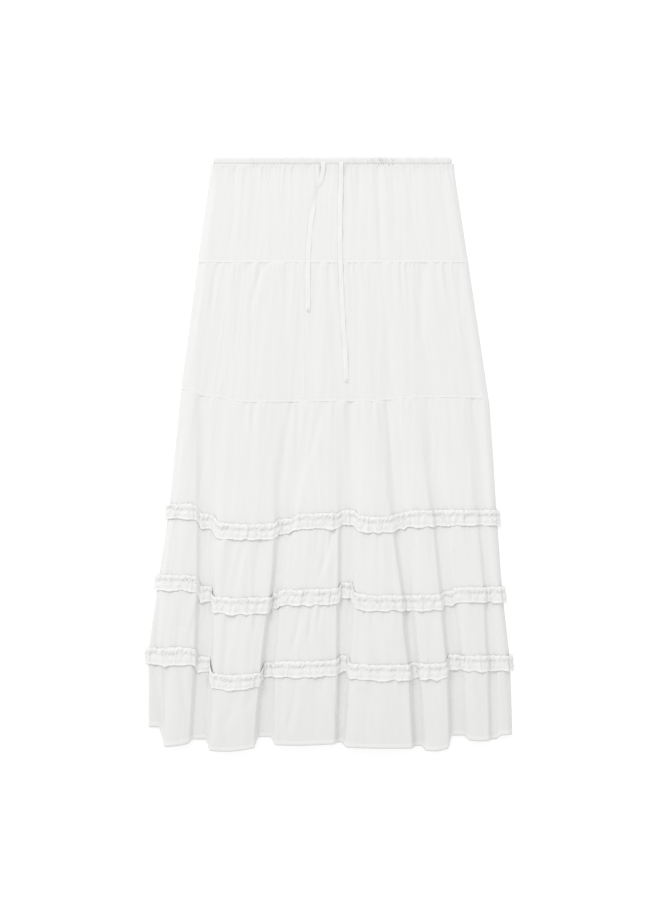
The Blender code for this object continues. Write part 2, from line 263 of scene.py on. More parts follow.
def fold_columns(fold, level):
    """Where a fold's seven columns stand in x, as rows: valley, wall foot, wall top, middle, and back."""
    point = np.arange(len(fold))
    edges = [on_line("left", level), *(valley_x(row, level) for row in VALLEYS), on_line("right", level)]
    start, end = np.stack(edges)[fold, point], np.stack(edges)[fold + 1, point]
    halves = [(SOFT_FLOOR / 2, row.floor_ruffle_2 / 2, row.floor_hem / 2) for row in VALLEYS]
    floors = np.stack(
        [np.interp(level, FLOOR_LEVELS, widths) for widths in (LEFT_FLOOR, *halves, RIGHT_FLOOR)]
    )
    wall = np.minimum(WALL_WIDTH, WALL_SHARE * (end - start))
    left_foot, right_foot = start + floors[fold, point], end - floors[fold + 1, point]
    left_top, right_top = left_foot + wall, right_foot - wall
    middle = (left_top + right_top) / 2
    shaped = np.stack([start, left_foot, left_top, middle, right_top, right_foot, end])
    even = start + (end - start) * np.arange(FOLD_COLUMNS + 1)[:, None] / FOLD_COLUMNS
    return even + (shaped - even) * smoothstep((level - SHAPE_STARTS) / SHAPE_TAKES)


def fold_profile(t, level):
    """How high across a fold: 0 in its valleys and 1 in its middle, a soft wave above and flat below."""
    wave = (1 - np.cos(2 * np.pi * t)) / 2
    column = FOLD_COLUMNS * np.minimum(t, 1 - t)
    arch = np.sin(np.pi / 2 * np.clip(column - 2, 0, 1))
    shaped = (1 - TOP_ARCH) * smoothstep(column - 1) + TOP_ARCH * arch
    return wave + (shaped - wave) * smoothstep((level - SHAPE_STARTS) / SHAPE_TAKES)


def front_points(across, level):
    """Points on the front's outer face, in millimetres. across counts the folds, from 0 to 7."""
    across, level = np.broadcast_arrays(np.asarray(across, float), np.asarray(level, float))
    fold = np.minimum(across.astype(int), len(FOLDS) - 1)
    point = np.arange(len(across))
    t = across - fold
    profile = fold_profile(t, level)
    strength = on_line("fold", level)

    columns = fold_columns(fold, level)
    column = np.minimum((t * FOLD_COLUMNS).astype(int), FOLD_COLUMNS - 1)
    part = t * FOLD_COLUMNS - column
    x = columns[column, point] * (1 - part) + columns[column + 1, point] * part

    crests = [crest_dip(row, level) for row in FOLDS]
    between = [
        (crests[i] + crests[i + 1]) / 2
        - np.interp(level, (SEAM_2, RUFFLE_2, HEM), (0, row.lift_ruffle_2, row.lift_hem))
        for i, row in enumerate(VALLEYS)
    ]
    valleys = np.stack([crests[0], *between, crests[-1]])
    nearest = valleys[fold + (t > 0.5), point]
    dip = nearest + (np.stack(crests)[fold, point] - nearest) * profile
    climb = np.array([row.climb for row in FOLDS])[fold] * smoothstep((level - RUFFLE_2) / 2)
    y = on_line("y", level) - dip + climb * (t - 0.5) * profile + corner_lift(x, level)

    lying = 2 * CLOTH + GAP + (CASING_WALL - CLOTH) * (1 - smoothstep(level / WAIST_SLOPE))
    lying = lying + RUFFLE_ROOM * smoothstep((level - ROOM_STARTS) / ROOM_TAKES)
    from_side = np.minimum(across, len(FOLDS) - across)
    puff = PUFF * smoothstep(2 * from_side) * (1 - strength) * smoothstep(PUFF_RISES * level)
    rise = np.array([row.rise for row in FOLDS])[fold] * strength
    return np.column_stack([x, y, lying + puff + rise * profile])


def back_lines_y(x, across, level):
    """The back's lines meet the front's at the side seams and lie straighter between them."""
    near_left, near_right = (1 - across) ** SIDE_BLEND, across**SIDE_BLEND
    dip = near_left * crest_dip(FOLDS[0], level) + near_right * crest_dip(FOLDS[-1], level)
    dip -= (1 - near_left - near_right) * on_line("back_lift", level)
    return on_line("y", level) - dip + corner_lift(x, level)


def back_points(across, level):
    """Points on the back's lower face, in millimetres. across runs from 0 to 1."""
    across, level = np.broadcast_arrays(np.asarray(across, float), np.asarray(level, float))
    left, right = on_line("left", level), on_line("right", level)
    x = left + (right - left) * across
    y = back_lines_y(x, across, level)
    room = np.zeros(len(level))
    for ruffle in RUFFLE_LEVELS:
        stitch = back_lines_y(x, across, np.full(len(level), float(ruffle)))
        outside = np.maximum(y - (stitch + RUFFLE_ABOVE), (stitch - RUFFLE_BELOW) - y)
        room = np.maximum(room, RUFFLE_ROOM * (1 - smoothstep((outside - 1) / RUFFLE_RAMP)))
    return np.column_stack([x, y, room])


crests = front_points(np.arange(len(FOLDS)) + 0.5, np.full(len(FOLDS), float(HEM)))
print("the folds' tops at the hem are at", crests[:, 2].round(1), "mm")

# %% [markdown]
# Gathers run with the threads, and the threads fan out with the skirt. So a place across the skirt is
# also known by its thread: its share of the cloth's own width along the line that it lies on, up and
# down the folds. The share stays the same from the top of a tier to its foot.

# %% Number the threads
ACROSS_STEPS = 2801
MIDDLE_FLOUNCE = 4.5  # the level halfway down it


def distances(path):
    """How far along a path each of its points is."""
    return np.concatenate([[0], np.cumsum(np.linalg.norm(np.diff(path, axis=0), axis=1))])


def thread_table(level):
    """Matching lists of across and of the distance along the cloth, at one level."""
    across = np.linspace(0, len(FOLDS), ACROSS_STEPS)
    line = front_points(across, np.full(len(across), float(level)))
    return across, distances(line[:, [0, 2]])


def across_at(levels, shares):
    """A table with a row for each level: the across of each share of the cloth's width there."""
    rows = []
    for level in levels:
        across, length = thread_table(level)
        rows.append(np.interp(shares * length[-1], length, across))
    return np.array(rows)


def line_length(level):
    """How long a level line is over the folds of the front."""
    return thread_table(level)[1][-1]


LAST_THREAD = line_length(MIDDLE_FLOUNCE)
print("the cloth across the front of the middle flounce is", round(LAST_THREAD), "mm")

# %% [markdown]
# ## The ties' routes
#
# The drawstring's two ends come out of the casing's face and fall over the front. A free cord is
# settled before the rest: its route, its length and what is on its end. The routes are the same points
# that the solids follow, drawn as one smooth curve, a little above the highest cloth near each point.

# %% Lay the ties' routes
TIE_WIDTH = 7.0
TIE_WALL = 1.6
TIE_STEP = 14.0
ROUTE_SAMPLES = 20
CLOTH_LOOKS = (211, 81)  # places across and down the upper tiers where the cloth's height is read
TIE_ROUTES = {
    "drawstring_left": [
        (-9.0, 420.5),
        (-10.0, 400.0),
        (-18.0, 376.0),
        (-24.5, 346.0),
        (-28.5, 318.0),
        (-30.5, 286.0),
        (-31.2, 246.0),
        (-31.0, 206.5),
    ],
    "drawstring_right": [
        (16.5, 420.5),
        (16.8, 400.0),
        (15.6, 360.0),
        (15.2, 300.0),
        (17.0, 240.0),
        (20.2, 180.0),
        (23.0, 140.0),
        (24.0, 104.5),
    ],
}


def read_path(path, s):
    """The places at these distances along a path."""
    length = distances(path)
    return np.column_stack([np.interp(s, length, column) for column in path.T])


def in_steps(path, step):
    """Even distances along a path, about a step apart, and the places there."""
    length = distances(path)[-1]
    s = np.linspace(0, length, round(length / step) + 1)
    return s, read_path(path, s)


def smooth_route(route):
    """Catmull-Rom through the route's points, read again at even steps."""
    points = np.array(route, float)
    points = np.vstack([2 * points[0] - points[1], points, 2 * points[-1] - points[-2]])
    curve = []
    for a, b, c, d in zip(points, points[1:], points[2:], points[3:]):
        for t in np.linspace(0, 1, ROUTE_SAMPLES, endpoint=False):
            cubic = (2 * a - 5 * b + 4 * c - d) * t**2 + (3 * b - a - 3 * c + d) * t**3
            curve.append((2 * b + (c - a) * t + cubic) / 2)
    curve = np.array([*curve, points[-2]])
    return in_steps(curve, TIE_STEP)[1]


def tie_path(route):
    """The route with its heights: over the casing, then over the highest cloth within one step."""
    plan = smooth_route(route)
    columns, rows = CLOTH_LOOKS
    across, level = np.meshgrid(np.linspace(0, len(FOLDS), columns), np.linspace(0, SEAM_2, rows))
    cloth = front_points(across.ravel(), level.ravel())
    heights = []
    for x, y in plan:
        near = cloth[np.hypot(cloth[:, 0] - x, cloth[:, 1] - y) < TIE_STEP]
        on_casing = y > LINES["waist"].y - TIE_STEP
        heights.append((2 * CASING_WALL + GAP if on_casing else near[:, 2].max()) + GAP + TIE_WALL / 2)
    return np.column_stack([plan, heights])


TIE_PATHS = {name: tie_path(route) for name, route in TIE_ROUTES.items()}
for name, path in TIE_PATHS.items():
    print(name, round(distances(path)[-1]), "mm long")

# %% [markdown]
# ## Helpers for cloth
#
# Every piece of cloth starts as a flat grid. Its points are moved to the surface, then pushed in or out
# along the surface's normals by a relief, and a Solidify modifier gives the cloth its wall. The grid
# also gets a UV map in metres of cloth, across and along, so that a weave follows the threads. A bell is
# the soft cross section that most grooves and stitch lines take.

# %% Make cloth from a grid
VOILE = 0.35  # one layer, drawn a little thicker than the real 0.25 mm
# SHADED is the tone of painted shade, drawn into valleys, ruffle pits and the casing's lower side
SHADED, SINGLE = 0.0, 0.5  # the fullness of one layer, in the shade and in the light; two layers have 1


def bell(distance, width):
    """1 on a line, and down to nearly 0 at twice this width from it."""
    return np.exp(-((distance / width) ** 2))


def mesh_data(mesh, name):
    """A bmesh that is finished with, as a mesh of this name."""
    data = bpy.data.meshes.new(name)
    mesh.to_mesh(data)
    mesh.free()
    return data


def make_object(name, data, material):
    for polygon in data.polygons:
        polygon.use_smooth = True
    data.materials.append(material)
    made = bpy.data.objects.new(name, data)
    scene.collection.objects.link(made)
    return made


def set_points(data, points):
    data.vertices.foreach_set("co", (points * MM).astype(np.float32).ravel())
    data.update()


def push_out(data, points, relief):
    """The points moved along the mesh's normals by a relief in millimetres."""
    set_points(data, points)
    normals = np.empty(len(points) * 3, np.float32)
    data.vertex_normals.foreach_get("vector", normals)
    set_points(data, points + normals.reshape(-1, 3) * relief[:, None])


def give_uv(data, along_u, along_v):
    """A UV map named cloth, from one pair of lengths in millimetres for each vertex."""
    corners = np.empty(len(data.loops), np.int32)
    data.loops.foreach_get("vertex_index", corners)
    uv = np.column_stack([along_u[corners], along_v[corners]]) * MM
    data.uv_layers.new(name="cloth").data.foreach_set("uv", uv.astype(np.float32).ravel())


def give_layers_and_painted_shade(data, layers_and_painted_shade):
    """The cloth's tone at each vertex: SHADED for painted shade, SINGLE for one layer and 1 for two."""
    attribute = data.attributes.new("layers_and_painted_shade", "FLOAT", "POINT")
    attribute.data.foreach_set("value", np.asarray(layers_and_painted_shade, np.float32))


def grid_of(name, columns, rows):
    """A flat grid's mesh, and where each vertex is: across from 0 to 1 and row from 0 at the top."""
    mesh = bmesh.new()
    bmesh.ops.create_grid(mesh, x_segments=columns, y_segments=rows, size=0.5)
    across = np.array([vert.co.x + 0.5 for vert in mesh.verts])
    row = np.array([(0.5 - vert.co.y) * rows for vert in mesh.verts])
    return mesh_data(mesh, name), across, row


def wall(made, thickness, offset):
    """A wall inwards from the surface with an offset of -1, and outwards with 1."""
    solidify = made.modifiers.new("wall", "SOLIDIFY")
    solidify.thickness = thickness * MM
    solidify.offset = offset


# %% [markdown]
# ## Gathers
#
# A gathered edge packs its cloth into many small pleats. They are short and close at the stitches, and
# run together into fewer and wider ones further down. Four sizes of random pleat, each fading over its
# own reach, give that. They lean, reach and bunch up unevenly, each by random pleats of its own that
# count their seeds on from the piece's. All are seeded, so that the skirt is the same each time.

# %% Draw random pleats
PLEAT_STEPS = (0.45, 1.55)  # the shortest and the longest distance between crests, over the spacing
PLEAT_HEIGHTS = (0.25, 1.0)
DRAWN_FROM, DRAWN_OVER = -120, 1000  # the stretch of thread, in millimetres, that pleats are drawn for


def pleats(seed, spacing):
    """A function of the thread: crests and troughs from -1 to 1, one every spacing mm on average."""
    rng = np.random.default_rng(seed)
    count = int(DRAWN_OVER / spacing)
    places = np.cumsum(spacing * rng.uniform(*PLEAT_STEPS, count)) + DRAWN_FROM
    heights = rng.uniform(*PLEAT_HEIGHTS, count) * np.where(np.arange(count) % 2, -1, 1)

    def read(thread):
        after = np.clip(np.searchsorted(places, thread), 1, count - 1)
        t = smoothstep((thread - places[after - 1]) / (places[after] - places[after - 1]))
        return heights[after - 1] * (1 - t) + heights[after] * t

    return read


# %% Gather an edge
Size = namedtuple("Size", "spacing height reach")
GATHER_SIZES = [Size(3.0, 0.26, 8), Size(5.5, 0.36, 20), Size(10.0, 0.42, 45), Size(22.0, 0.45, 110)]
GATHER_LEAN, LEANS_EVERY = 0.10, 55  # sideways for each millimetre down, and how often that changes
REACHES, REACH_SWING, REACHES_EVERY = 0.85, 0.6, 2.5  # shares of a size's own reach and spacing
BUNCHED, BUNCH_SWING, LEAST_BUNCHED, BUNCHES_EVERY = 0.75, 0.8, 0.2, 38
GATHER_STARTS, GATHER_SWELLS = 0.3, 3.4  # below the edge, clear of the lap that covers it


def gathers(seed, thread, drop, strength=1.0):
    """The relief below a gathered edge. drop is the distance from it, in millimetres."""
    relief = np.zeros(len(thread))
    for number, size in enumerate(GATHER_SIZES):
        lean = GATHER_LEAN * drop * pleats(seed + 40 + number, LEANS_EVERY)(thread)
        crests = pleats(seed + number, size.spacing)(thread + lean)
        reach_swing = REACH_SWING * pleats(seed + 20 + number, REACHES_EVERY * size.spacing)(thread)
        reach = size.reach * (REACHES + reach_swing)
        bunched = BUNCHED + BUNCH_SWING * pleats(seed + 60 + number, BUNCHES_EVERY)(thread)
        fading = np.exp(-np.maximum(drop, 0) / reach)
        relief += size.height * np.maximum(bunched, LEAST_BUNCHED) * crests * fading
    return strength * relief * smoothstep((drop - GATHER_STARTS) / GATHER_SWELLS)


def streaks(seed, thread, drop, spacing, length):
    """Long faint folds along the threads, each of its own length, that come and go down the cloth."""
    where = drop + 1.5 * length * pleats(seed + 1, 1.3 * spacing)(thread)
    shown = smoothstep(0.5 + 0.9 * pleats(seed + 2, length)(where))
    return pleats(seed, spacing)(thread + 0.03 * drop) * shown


print("gathers from", GATHER_SIZES[0].spacing, "to", GATHER_SIZES[-1].spacing, "mm apart")

# %% [markdown]
# ## Creases
#
# Apart from the gathers, the front carries longer soft folds and creases that fell where they fell. Each
# is a trough along a slightly bowed line, with its own width and depth, that fades at both ends. The
# list gives them one by one, tier by tier, because no rule would place them as unevenly.

# %% Lay the creases one by one
Crease = namedtuple("Crease", "x_top y_top x_bottom y_bottom bow width depth")
FRONT_CREASES = [
    # hip tier
    Crease(-135, 404, -144, 280, 2, 5, 0.9),
    Crease(-98, 398, -104, 300, -1, 6, 0.5),
    Crease(-58, 405, -64, 330, 1, 5, 0.5),
    Crease(44, 404, 46, 345, 0, 5, 0.5),
    Crease(68, 404, 72, 282, 2, 4, 0.9),
    Crease(92, 398, 97, 300, 0, 7, 0.5),
    Crease(117, 404, 121, 350, 1, 4, 0.7),
    Crease(161, 404, 176, 282, 0, 4, 0.8),
    # thigh tier
    Crease(-163, 271, -170, 200, -1, 4, 0.9),
    Crease(-96, 271, -115, 196, -2, 4, 1.0),
    Crease(-148, 230, -158, 120, 0, 9, 0.5),
    Crease(-60, 262, -66, 170, 0, 6, 0.5),
    Crease(-1, 271, -1, 205, 1, 4, 0.7),
    Crease(83, 180, 88, 84, 0, 4, 0.8),
    Crease(134, 271, 131, 150, -1, 6, 1.0),
    Crease(187, 271, 190, 196, 0, 4, 0.8),
    Crease(193, 190, 207, 84, 1, 6, 1.1),
    # knee tier
    Crease(-183, 84, -181, -80, 0, 6, 1.6),
    Crease(-111, 78, -109, 40, 0, 3, 0.7),
    Crease(-52, 78, -72, -84, -4, 6, 1.6),
    Crease(-14, 70, -36, -25, 3, 5, 1.1),
    Crease(29, 76, 47, -20, -3, 6, 1.1),
    Crease(82, 78, 96, -84, 0, 3.5, 1.7),
    Crease(141, 74, 149, -40, 0, 6, 1.3),
    Crease(173, 70, 179, -30, 0, 5, 0.8),
    Crease(205, 80, 224, -60, 1, 6, 1.4),
    # upper flounce
    Crease(-121, -126, -135, -200, -2, 5, 1.0),
    Crease(5, -110, -20, -190, 2, 4, 1.3),
    Crease(-6, -116, -12, -170, 1, 3.5, 0.8),
    Crease(97, -110, 103, -196, 0, 6, 1.4),
    Crease(182, -140, 196, -180, 1, 4, 0.7),
    # middle flounce
    Crease(-39, -220, -58, -290, 2, 4.5, 1.4),
    Crease(-25, -220, -32, -272, 1, 3.5, 1.0),
    Crease(-13, -218, -18, -252, 0, 3, 0.8),
    Crease(111, -222, 115, -292, 0, 5, 1.6),
    Crease(188, -240, 206, -270, 2, 4, 0.8),
    Crease(-214, -244, -196, -262, 2, 5, 0.7),
    # hem flounce
    Crease(-215, -312, -203, -400, 3, 5, 1.3),
    Crease(-237, -318, -240, -412, 0, 5, 2.0),
    Crease(-133, -350, -158, -398, 3, 6, 0.9),
    Crease(-112, -345, -128, -372, 2, 5, 0.7),
    Crease(-50, -322, -66, -408, 5, 4.5, 1.4),
    Crease(-8, -318, -11, -346, 0, 3, 0.9),
    Crease(40, -340, 62, -352, 2, 5, 0.6),
    Crease(60, -346, 74, -372, 2, 5, 0.6),
    Crease(190, -318, 202, -360, 1, 4, 0.8),
]

PAST_ENDS, FADES_IN, FADES_OUT = 0.1, 0.2, 0.5  # shares of a crease's length
RIDGE, RIDGE_BESIDE, RIDGE_SPREAD = 0.25, 2.1, 2.2  # its height over the depth, its place and its width


def creases(rows, points):
    """The relief of a list of creases at these points: soft troughs with a low ridge on the lit side."""
    relief = np.zeros(len(points))
    for row in rows:
        start, end = np.array([row.x_top, row.y_top]), np.array([row.x_bottom, row.y_bottom])
        run = end - start
        length = np.hypot(*run)
        away = points[:, :2] - start
        t = away @ run / length**2
        near = (t > -PAST_ENDS) & (t < 1 + PAST_ENDS)
        t = t[near]
        beside = (away[near, 0] * run[1] - away[near, 1] * run[0]) / length
        beside = beside + row.bow * 4 * t * (1 - t)
        trough = -bell(beside, row.width)
        ridge = RIDGE * np.exp(-((beside / row.width + RIDGE_BESIDE) ** 2) / RIDGE_SPREAD)
        fade = smoothstep((t + PAST_ENDS) / FADES_IN) * smoothstep((1 + PAST_ENDS - t) / FADES_OUT)
        relief[near] += row.depth * (trough + ridge) * fade
    return relief


print(len(FRONT_CREASES), "creases on the front")


# %% [markdown]
# ## Cotton voile
#
# Voile is a plain weave of thin, hard-twisted cotton yarn, about 25 threads to the centimetre. It is
# sheer, dead matt and a little uneven, and the crinkle finish leaves fine lengthwise streaks in it. It
# shows a little of what lies under it: where it is doubled, as in a hem or a frill, it looks a shade
# whiter. Shade is also painted into its colour: greyer down in the valleys and towards the hem, in the
# ruffles' pits and on the casing's lower side; and painted highlights lighten the casing's top and the
# ties' edges. One attribute carries both the layers and this painted light and shade.
# A true weave of 0.4 mm is too fine to show, so it is drawn at 0.9 mm, and only as a bump.

# %% Write the voile material
CRINKLES = (1.6, 22.0)  # the width and the length of a streak
SLUBS = (9.0, 60.0)
WEAVE = (0.9, 0.9)
WAVE_SCALE = 0.314  # gives the wave texture one band for each unit of its space
CRINKLE_DEPTH, WEAVE_DEPTH = 0.30, 0.06
THIN_TINT, THIN_SHARE = "d9dad8", 0.05  # how far the thin places between slubs go towards their tint


def add(tree, kind, settings=None, values=None, links=None):
    """A node of this kind, with its settings, its sockets' values and its incoming links."""
    node = tree.nodes.new(kind)
    for name, value in (settings or {}).items():
        setattr(node, name, value)
    for socket, value in (values or {}).items():
        node.inputs[socket].default_value = value
    for socket, source in (links or {}).items():
        tree.links.new(source, node.inputs[socket])
    return node


def per_metre(*sizes_mm):
    """The Mapping scale that makes a pattern's unit this long in each direction."""
    return [1 / (size * MM) for size in sizes_mm] + [1.0]


def cotton_voile(name, shaded, single, double, crinkle, weave):
    """Crinkled voile, with its colours for painted shade, for one layer and for two."""
    material = bpy.data.materials.new(name)
    material.use_nodes = True
    tree = material.node_tree
    shader = tree.nodes["Principled BSDF"]
    shader.inputs["Roughness"].default_value = 0.92
    shader.inputs["Specular IOR Level"].default_value = 0.22
    shader.inputs["Sheen Weight"].default_value = 0.12
    shader.inputs["Sheen Roughness"].default_value = 0.6

    cloth = add(tree, "ShaderNodeUVMap", {"uv_map": "cloth"}).outputs["UV"]
    crinkled, slubbed, woven = (
        add(
            tree, "ShaderNodeMapping", values={"Scale": per_metre(*sizes)}, links={"Vector": cloth}
        ).outputs["Vector"]
        for sizes in (CRINKLES, SLUBS, WEAVE)
    )
    crinkles = add(
        tree, "ShaderNodeTexNoise", values={"Scale": 1.0, "Detail": 2.0, "Roughness": 0.55},
        links={"Vector": crinkled},
    )
    slubs = add(tree, "ShaderNodeTexNoise", values={"Scale": 1.0, "Detail": 3.0}, links={"Vector": slubbed})
    warp, weft = (
        add(
            tree, "ShaderNodeTexWave", {"bands_direction": direction},
            {"Scale": WAVE_SCALE, "Distortion": 0.6, "Detail": 1.0}, {"Vector": woven},
        ).outputs["Fac"]
        for direction in ("X", "Y")
    )
    plain_weave = add(tree, "ShaderNodeMath", {"operation": "MULTIPLY"}, links={0: warp, 1: weft})

    layers_and_painted_shade = add(tree, "ShaderNodeAttribute", {"attribute_name": "layers_and_painted_shade"}).outputs["Fac"]
    # a ramp from the painted shade colour over one layer to two layers
    body = add(tree, "ShaderNodeValToRGB", links={"Fac": layers_and_painted_shade})
    body.color_ramp.elements.new(SINGLE)
    for stop, shade in zip(body.color_ramp.elements, (shaded, single, double)):
        stop.color = linear(shade)
    thin_places = add(
        tree, "ShaderNodeMapRange",
        values={"From Min": 0.35, "From Max": 0.7, "To Min": 0.0, "To Max": THIN_SHARE},
        links={"Value": slubs.outputs["Fac"]},
    )
    colour = add(
        tree, "ShaderNodeMix", {"data_type": "RGBA", "blend_type": "MULTIPLY"}, {"B": linear(THIN_TINT)},
        {"Factor": thin_places.outputs["Result"], "A": body.outputs["Color"]},
    )
    tree.links.new(colour.outputs["Result"], shader.inputs["Base Color"])

    fine = add(
        tree, "ShaderNodeBump", values={"Strength": weave, "Distance": WEAVE_DEPTH * MM},
        links={"Height": plain_weave.outputs["Value"]},
    )
    relief = add(
        tree, "ShaderNodeBump", values={"Strength": crinkle, "Distance": CRINKLE_DEPTH * MM},
        links={"Height": crinkles.outputs["Fac"], "Normal": fine.outputs["Normal"]},
    )
    tree.links.new(relief.outputs["Normal"], shader.inputs["Normal"])
    return material


# each voile's first colour is its painted shade, the next is one layer and the last is two layers
panel_voile = cotton_voile("crinkled_cotton_voile", "dddddc", "e7e7e6", "f0f0ef", crinkle=0.28, weave=0.35)
ruffle_voile = cotton_voile("gathered_cotton_voile", "dfdfde", "eaeae9", "f1f1f0", crinkle=0.6, weave=0.4)
casing_voile = cotton_voile("folded_cotton_voile", "dadad9", "e5e5e4", "ececeb", crinkle=0.6, weave=0.4)
tie_voile = cotton_voile("pressed_cotton_voile", "dededd", "e9e9e7", "efefee", crinkle=0.2, weave=0.4)
print("voile:", [material.name for material in (panel_voile, ruffle_voile, casing_voile, tie_voile)])

# %% [markdown]
# Sewing thread is spun polyester, a little glossier than the cloth. Its twist is under 0.2 mm, too fine
# to show, so each stitch is smooth, with a faint change of tone from stitch to stitch.

# %% Write the thread material
THREAD_TONE_LENGTH = 14.0


def spun_thread(name, colour, shade):
    material = bpy.data.materials.new(name)
    material.use_nodes = True
    tree = material.node_tree
    shader = tree.nodes["Principled BSDF"]
    shader.inputs["Roughness"].default_value = 0.55
    shader.inputs["Specular IOR Level"].default_value = 0.4
    place = add(tree, "ShaderNodeTexCoord").outputs["Object"]
    tones = add(
        tree, "ShaderNodeTexNoise", values={"Scale": 1 / (THREAD_TONE_LENGTH * MM), "Detail": 1.0},
        links={"Vector": place},
    )
    mixed = add(
        tree, "ShaderNodeMix", {"data_type": "RGBA"}, {"A": linear(colour), "B": linear(shade)},
        {"Factor": tones.outputs["Fac"]},
    )
    tree.links.new(mixed.outputs["Result"], shader.inputs["Base Color"])
    return material


sewing_thread = spun_thread("spun_polyester_thread", "efefed", "e0e0de")
print("thread:", sewing_thread.name)

# %% [markdown]
# ## The front tiers
#
# Each tier is a strip gathered onto the one above. Its top is tucked under, and the tier above laps it by
# a millimetre, with its seam allowance pressed up behind as a narrow whiter band. Gathers start at a
# plain seam, but under a ruffle only where its lower edge lets go of them. At the side seams the front
# turns down to meet the back. The hem tier ends in a narrow double-turned hem with a row of stitches.
# Shade is painted into the tone: a shade greyer in the valleys, and greyer again towards the hem.

# %% Sizes of the front tiers
COLUMN, ROW = 1.35, 3.0
FINE_ROW, FINE_ROWS = 1.7, 9
TUCK, LAP = 1.6, 1.1
TUCKED_BY, TUCK_ENDS, TUCK_FADES = 0.18, 0.4, 2.2
SIDE_TURN, SIDE_FLOOR = 4.0, 0.9
SEAM_BAND, HEM_BAND, BAND_EDGE = 5.0, 8.0, 1.6
SEAM_STITCH = 4.0
WAIST_MEETS, WAIST_MEETS_OVER = 1.5, 5  # the hip tier rises to the casing
FREED_AT = 0.8 * RUFFLE_BELOW  # where the cloth comes free under a ruffle
CALM_AT_SEAM, CALM_OVER = 0.3, 12  # how much relief is left at the lower seam, and over how far it grows
CREASE_DEPTH = 1.05
# painted shade: how much greyer the valleys are drawn, and how much greyer the cloth grows towards the hem
VALLEY_SHADE, HOLLOW_SHADE = 0.10, 0.20
HEM_WHITER, SEAM_WHITER = 0.22, 0.15

Tier = namedtuple("Tier", "gather streak")
TIERS = [
    Tier(1.8, 0.22), Tier(1.5, 0.28), Tier(1.5, 0.28), Tier(1.7, 0.42), Tier(1.8, 0.42), Tier(1.7, 0.50)
]
Streak = namedtuple("Streak", "seed height spacing length")
WIDE_STREAK, FINE_STREAK = Streak(70, 2.4, 21, 90), Streak(75, 0.30, 8, 45)
STREAK_GROWS = 25


def drop_rows(height):
    """Distances below a tier's upper seam: close together under the gathers, then even."""
    fine = np.arange(FINE_ROWS + 1) * FINE_ROW
    rest = np.linspace(fine[-1], height, max(2, round((height - fine[-1]) / ROW) + 1))[1:]
    return np.concatenate([[-TUCK], fine, rest, [height + LAP]])


print("rows of the hip tier:", len(drop_rows(on_line("y", 0) - on_line("y", 1))))


# %% Give the front its relief and its tone
def turned_down(points, level):
    """The front's last few millimetres curve down to the back at both side seams."""
    beside = np.minimum(points[:, 0] - on_line("left", level), on_line("right", level) - points[:, 0])
    inside = np.clip(beside / SIDE_TURN, 0, 1)
    share = np.sqrt(1 - (1 - inside) ** 2)
    points[:, 2] = SIDE_FLOOR + (points[:, 2] - SIDE_FLOOR) * share
    return points


def band(distance, width):
    """1 on a pressed band along an edge and 0 beyond it."""
    return 1 - smoothstep((distance - width + BAND_EDGE / 2) / BAND_EDGE)


def front_relief(number, points, thread, drop, rise):
    """All that the cloth does on its way from the upper seam, drop below it, to the lower, rise above it."""
    tier, seed = TIERS[number - 1], 100 * number
    if number - 1 in RUFFLE_LEVELS:
        freed = drop - FREED_AT
        relief = gathers(seed, thread, np.maximum(freed, 0), tier.gather)
        relief *= 0.25 + 0.75 * smoothstep((freed + 3) / 5)
    else:
        relief = gathers(seed, thread, drop, tier.gather)
    for streak, grown in ((WIDE_STREAK, smoothstep(drop / STREAK_GROWS)), (FINE_STREAK, 1)):
        shape = streaks(seed + streak.seed, thread, drop, streak.spacing, streak.length)
        relief += streak.height * tier.streak * shape * grown
    relief += CREASE_DEPTH * creases(FRONT_CREASES, points)
    return relief * (CALM_AT_SEAM + (1 - CALM_AT_SEAM) * smoothstep(rise / CALM_OVER))


def hem_relief(thread, rise):
    """The turned hem is thicker and puckered, with a groove of stitches along its top."""
    pucker = pleats(671, 2.8)(thread + 0.5 * rise)
    return (0.20 + 0.16 * pucker) * band(rise, HEM_BAND) - 0.22 * bell(rise - HEM_BAND, 1.2)


def seam_relief(number, thread, rise):
    """A plain seam's edge turns in, and stitches pull a groove where its allowance is held."""
    uneven = 0.7 + 0.3 * pleats(900 + number, 5)(thread)
    return -uneven * (0.20 * bell(rise, 1.2) + 0.16 * bell(rise - SEAM_STITCH, 0.8))


def front_tone(across, level):
    """One layer's tone, with painted shade in the valleys and more painted shade towards the hem."""
    fold = np.minimum(across.astype(int), len(FOLDS) - 1)
    in_valley = (1 - fold_profile(across - fold, level)) ** 2
    strength = on_line("fold", level)
    return SINGLE - (SINGLE - SHADED) * VALLEY_SHADE * in_valley * strength - HOLLOW_SHADE * strength**6


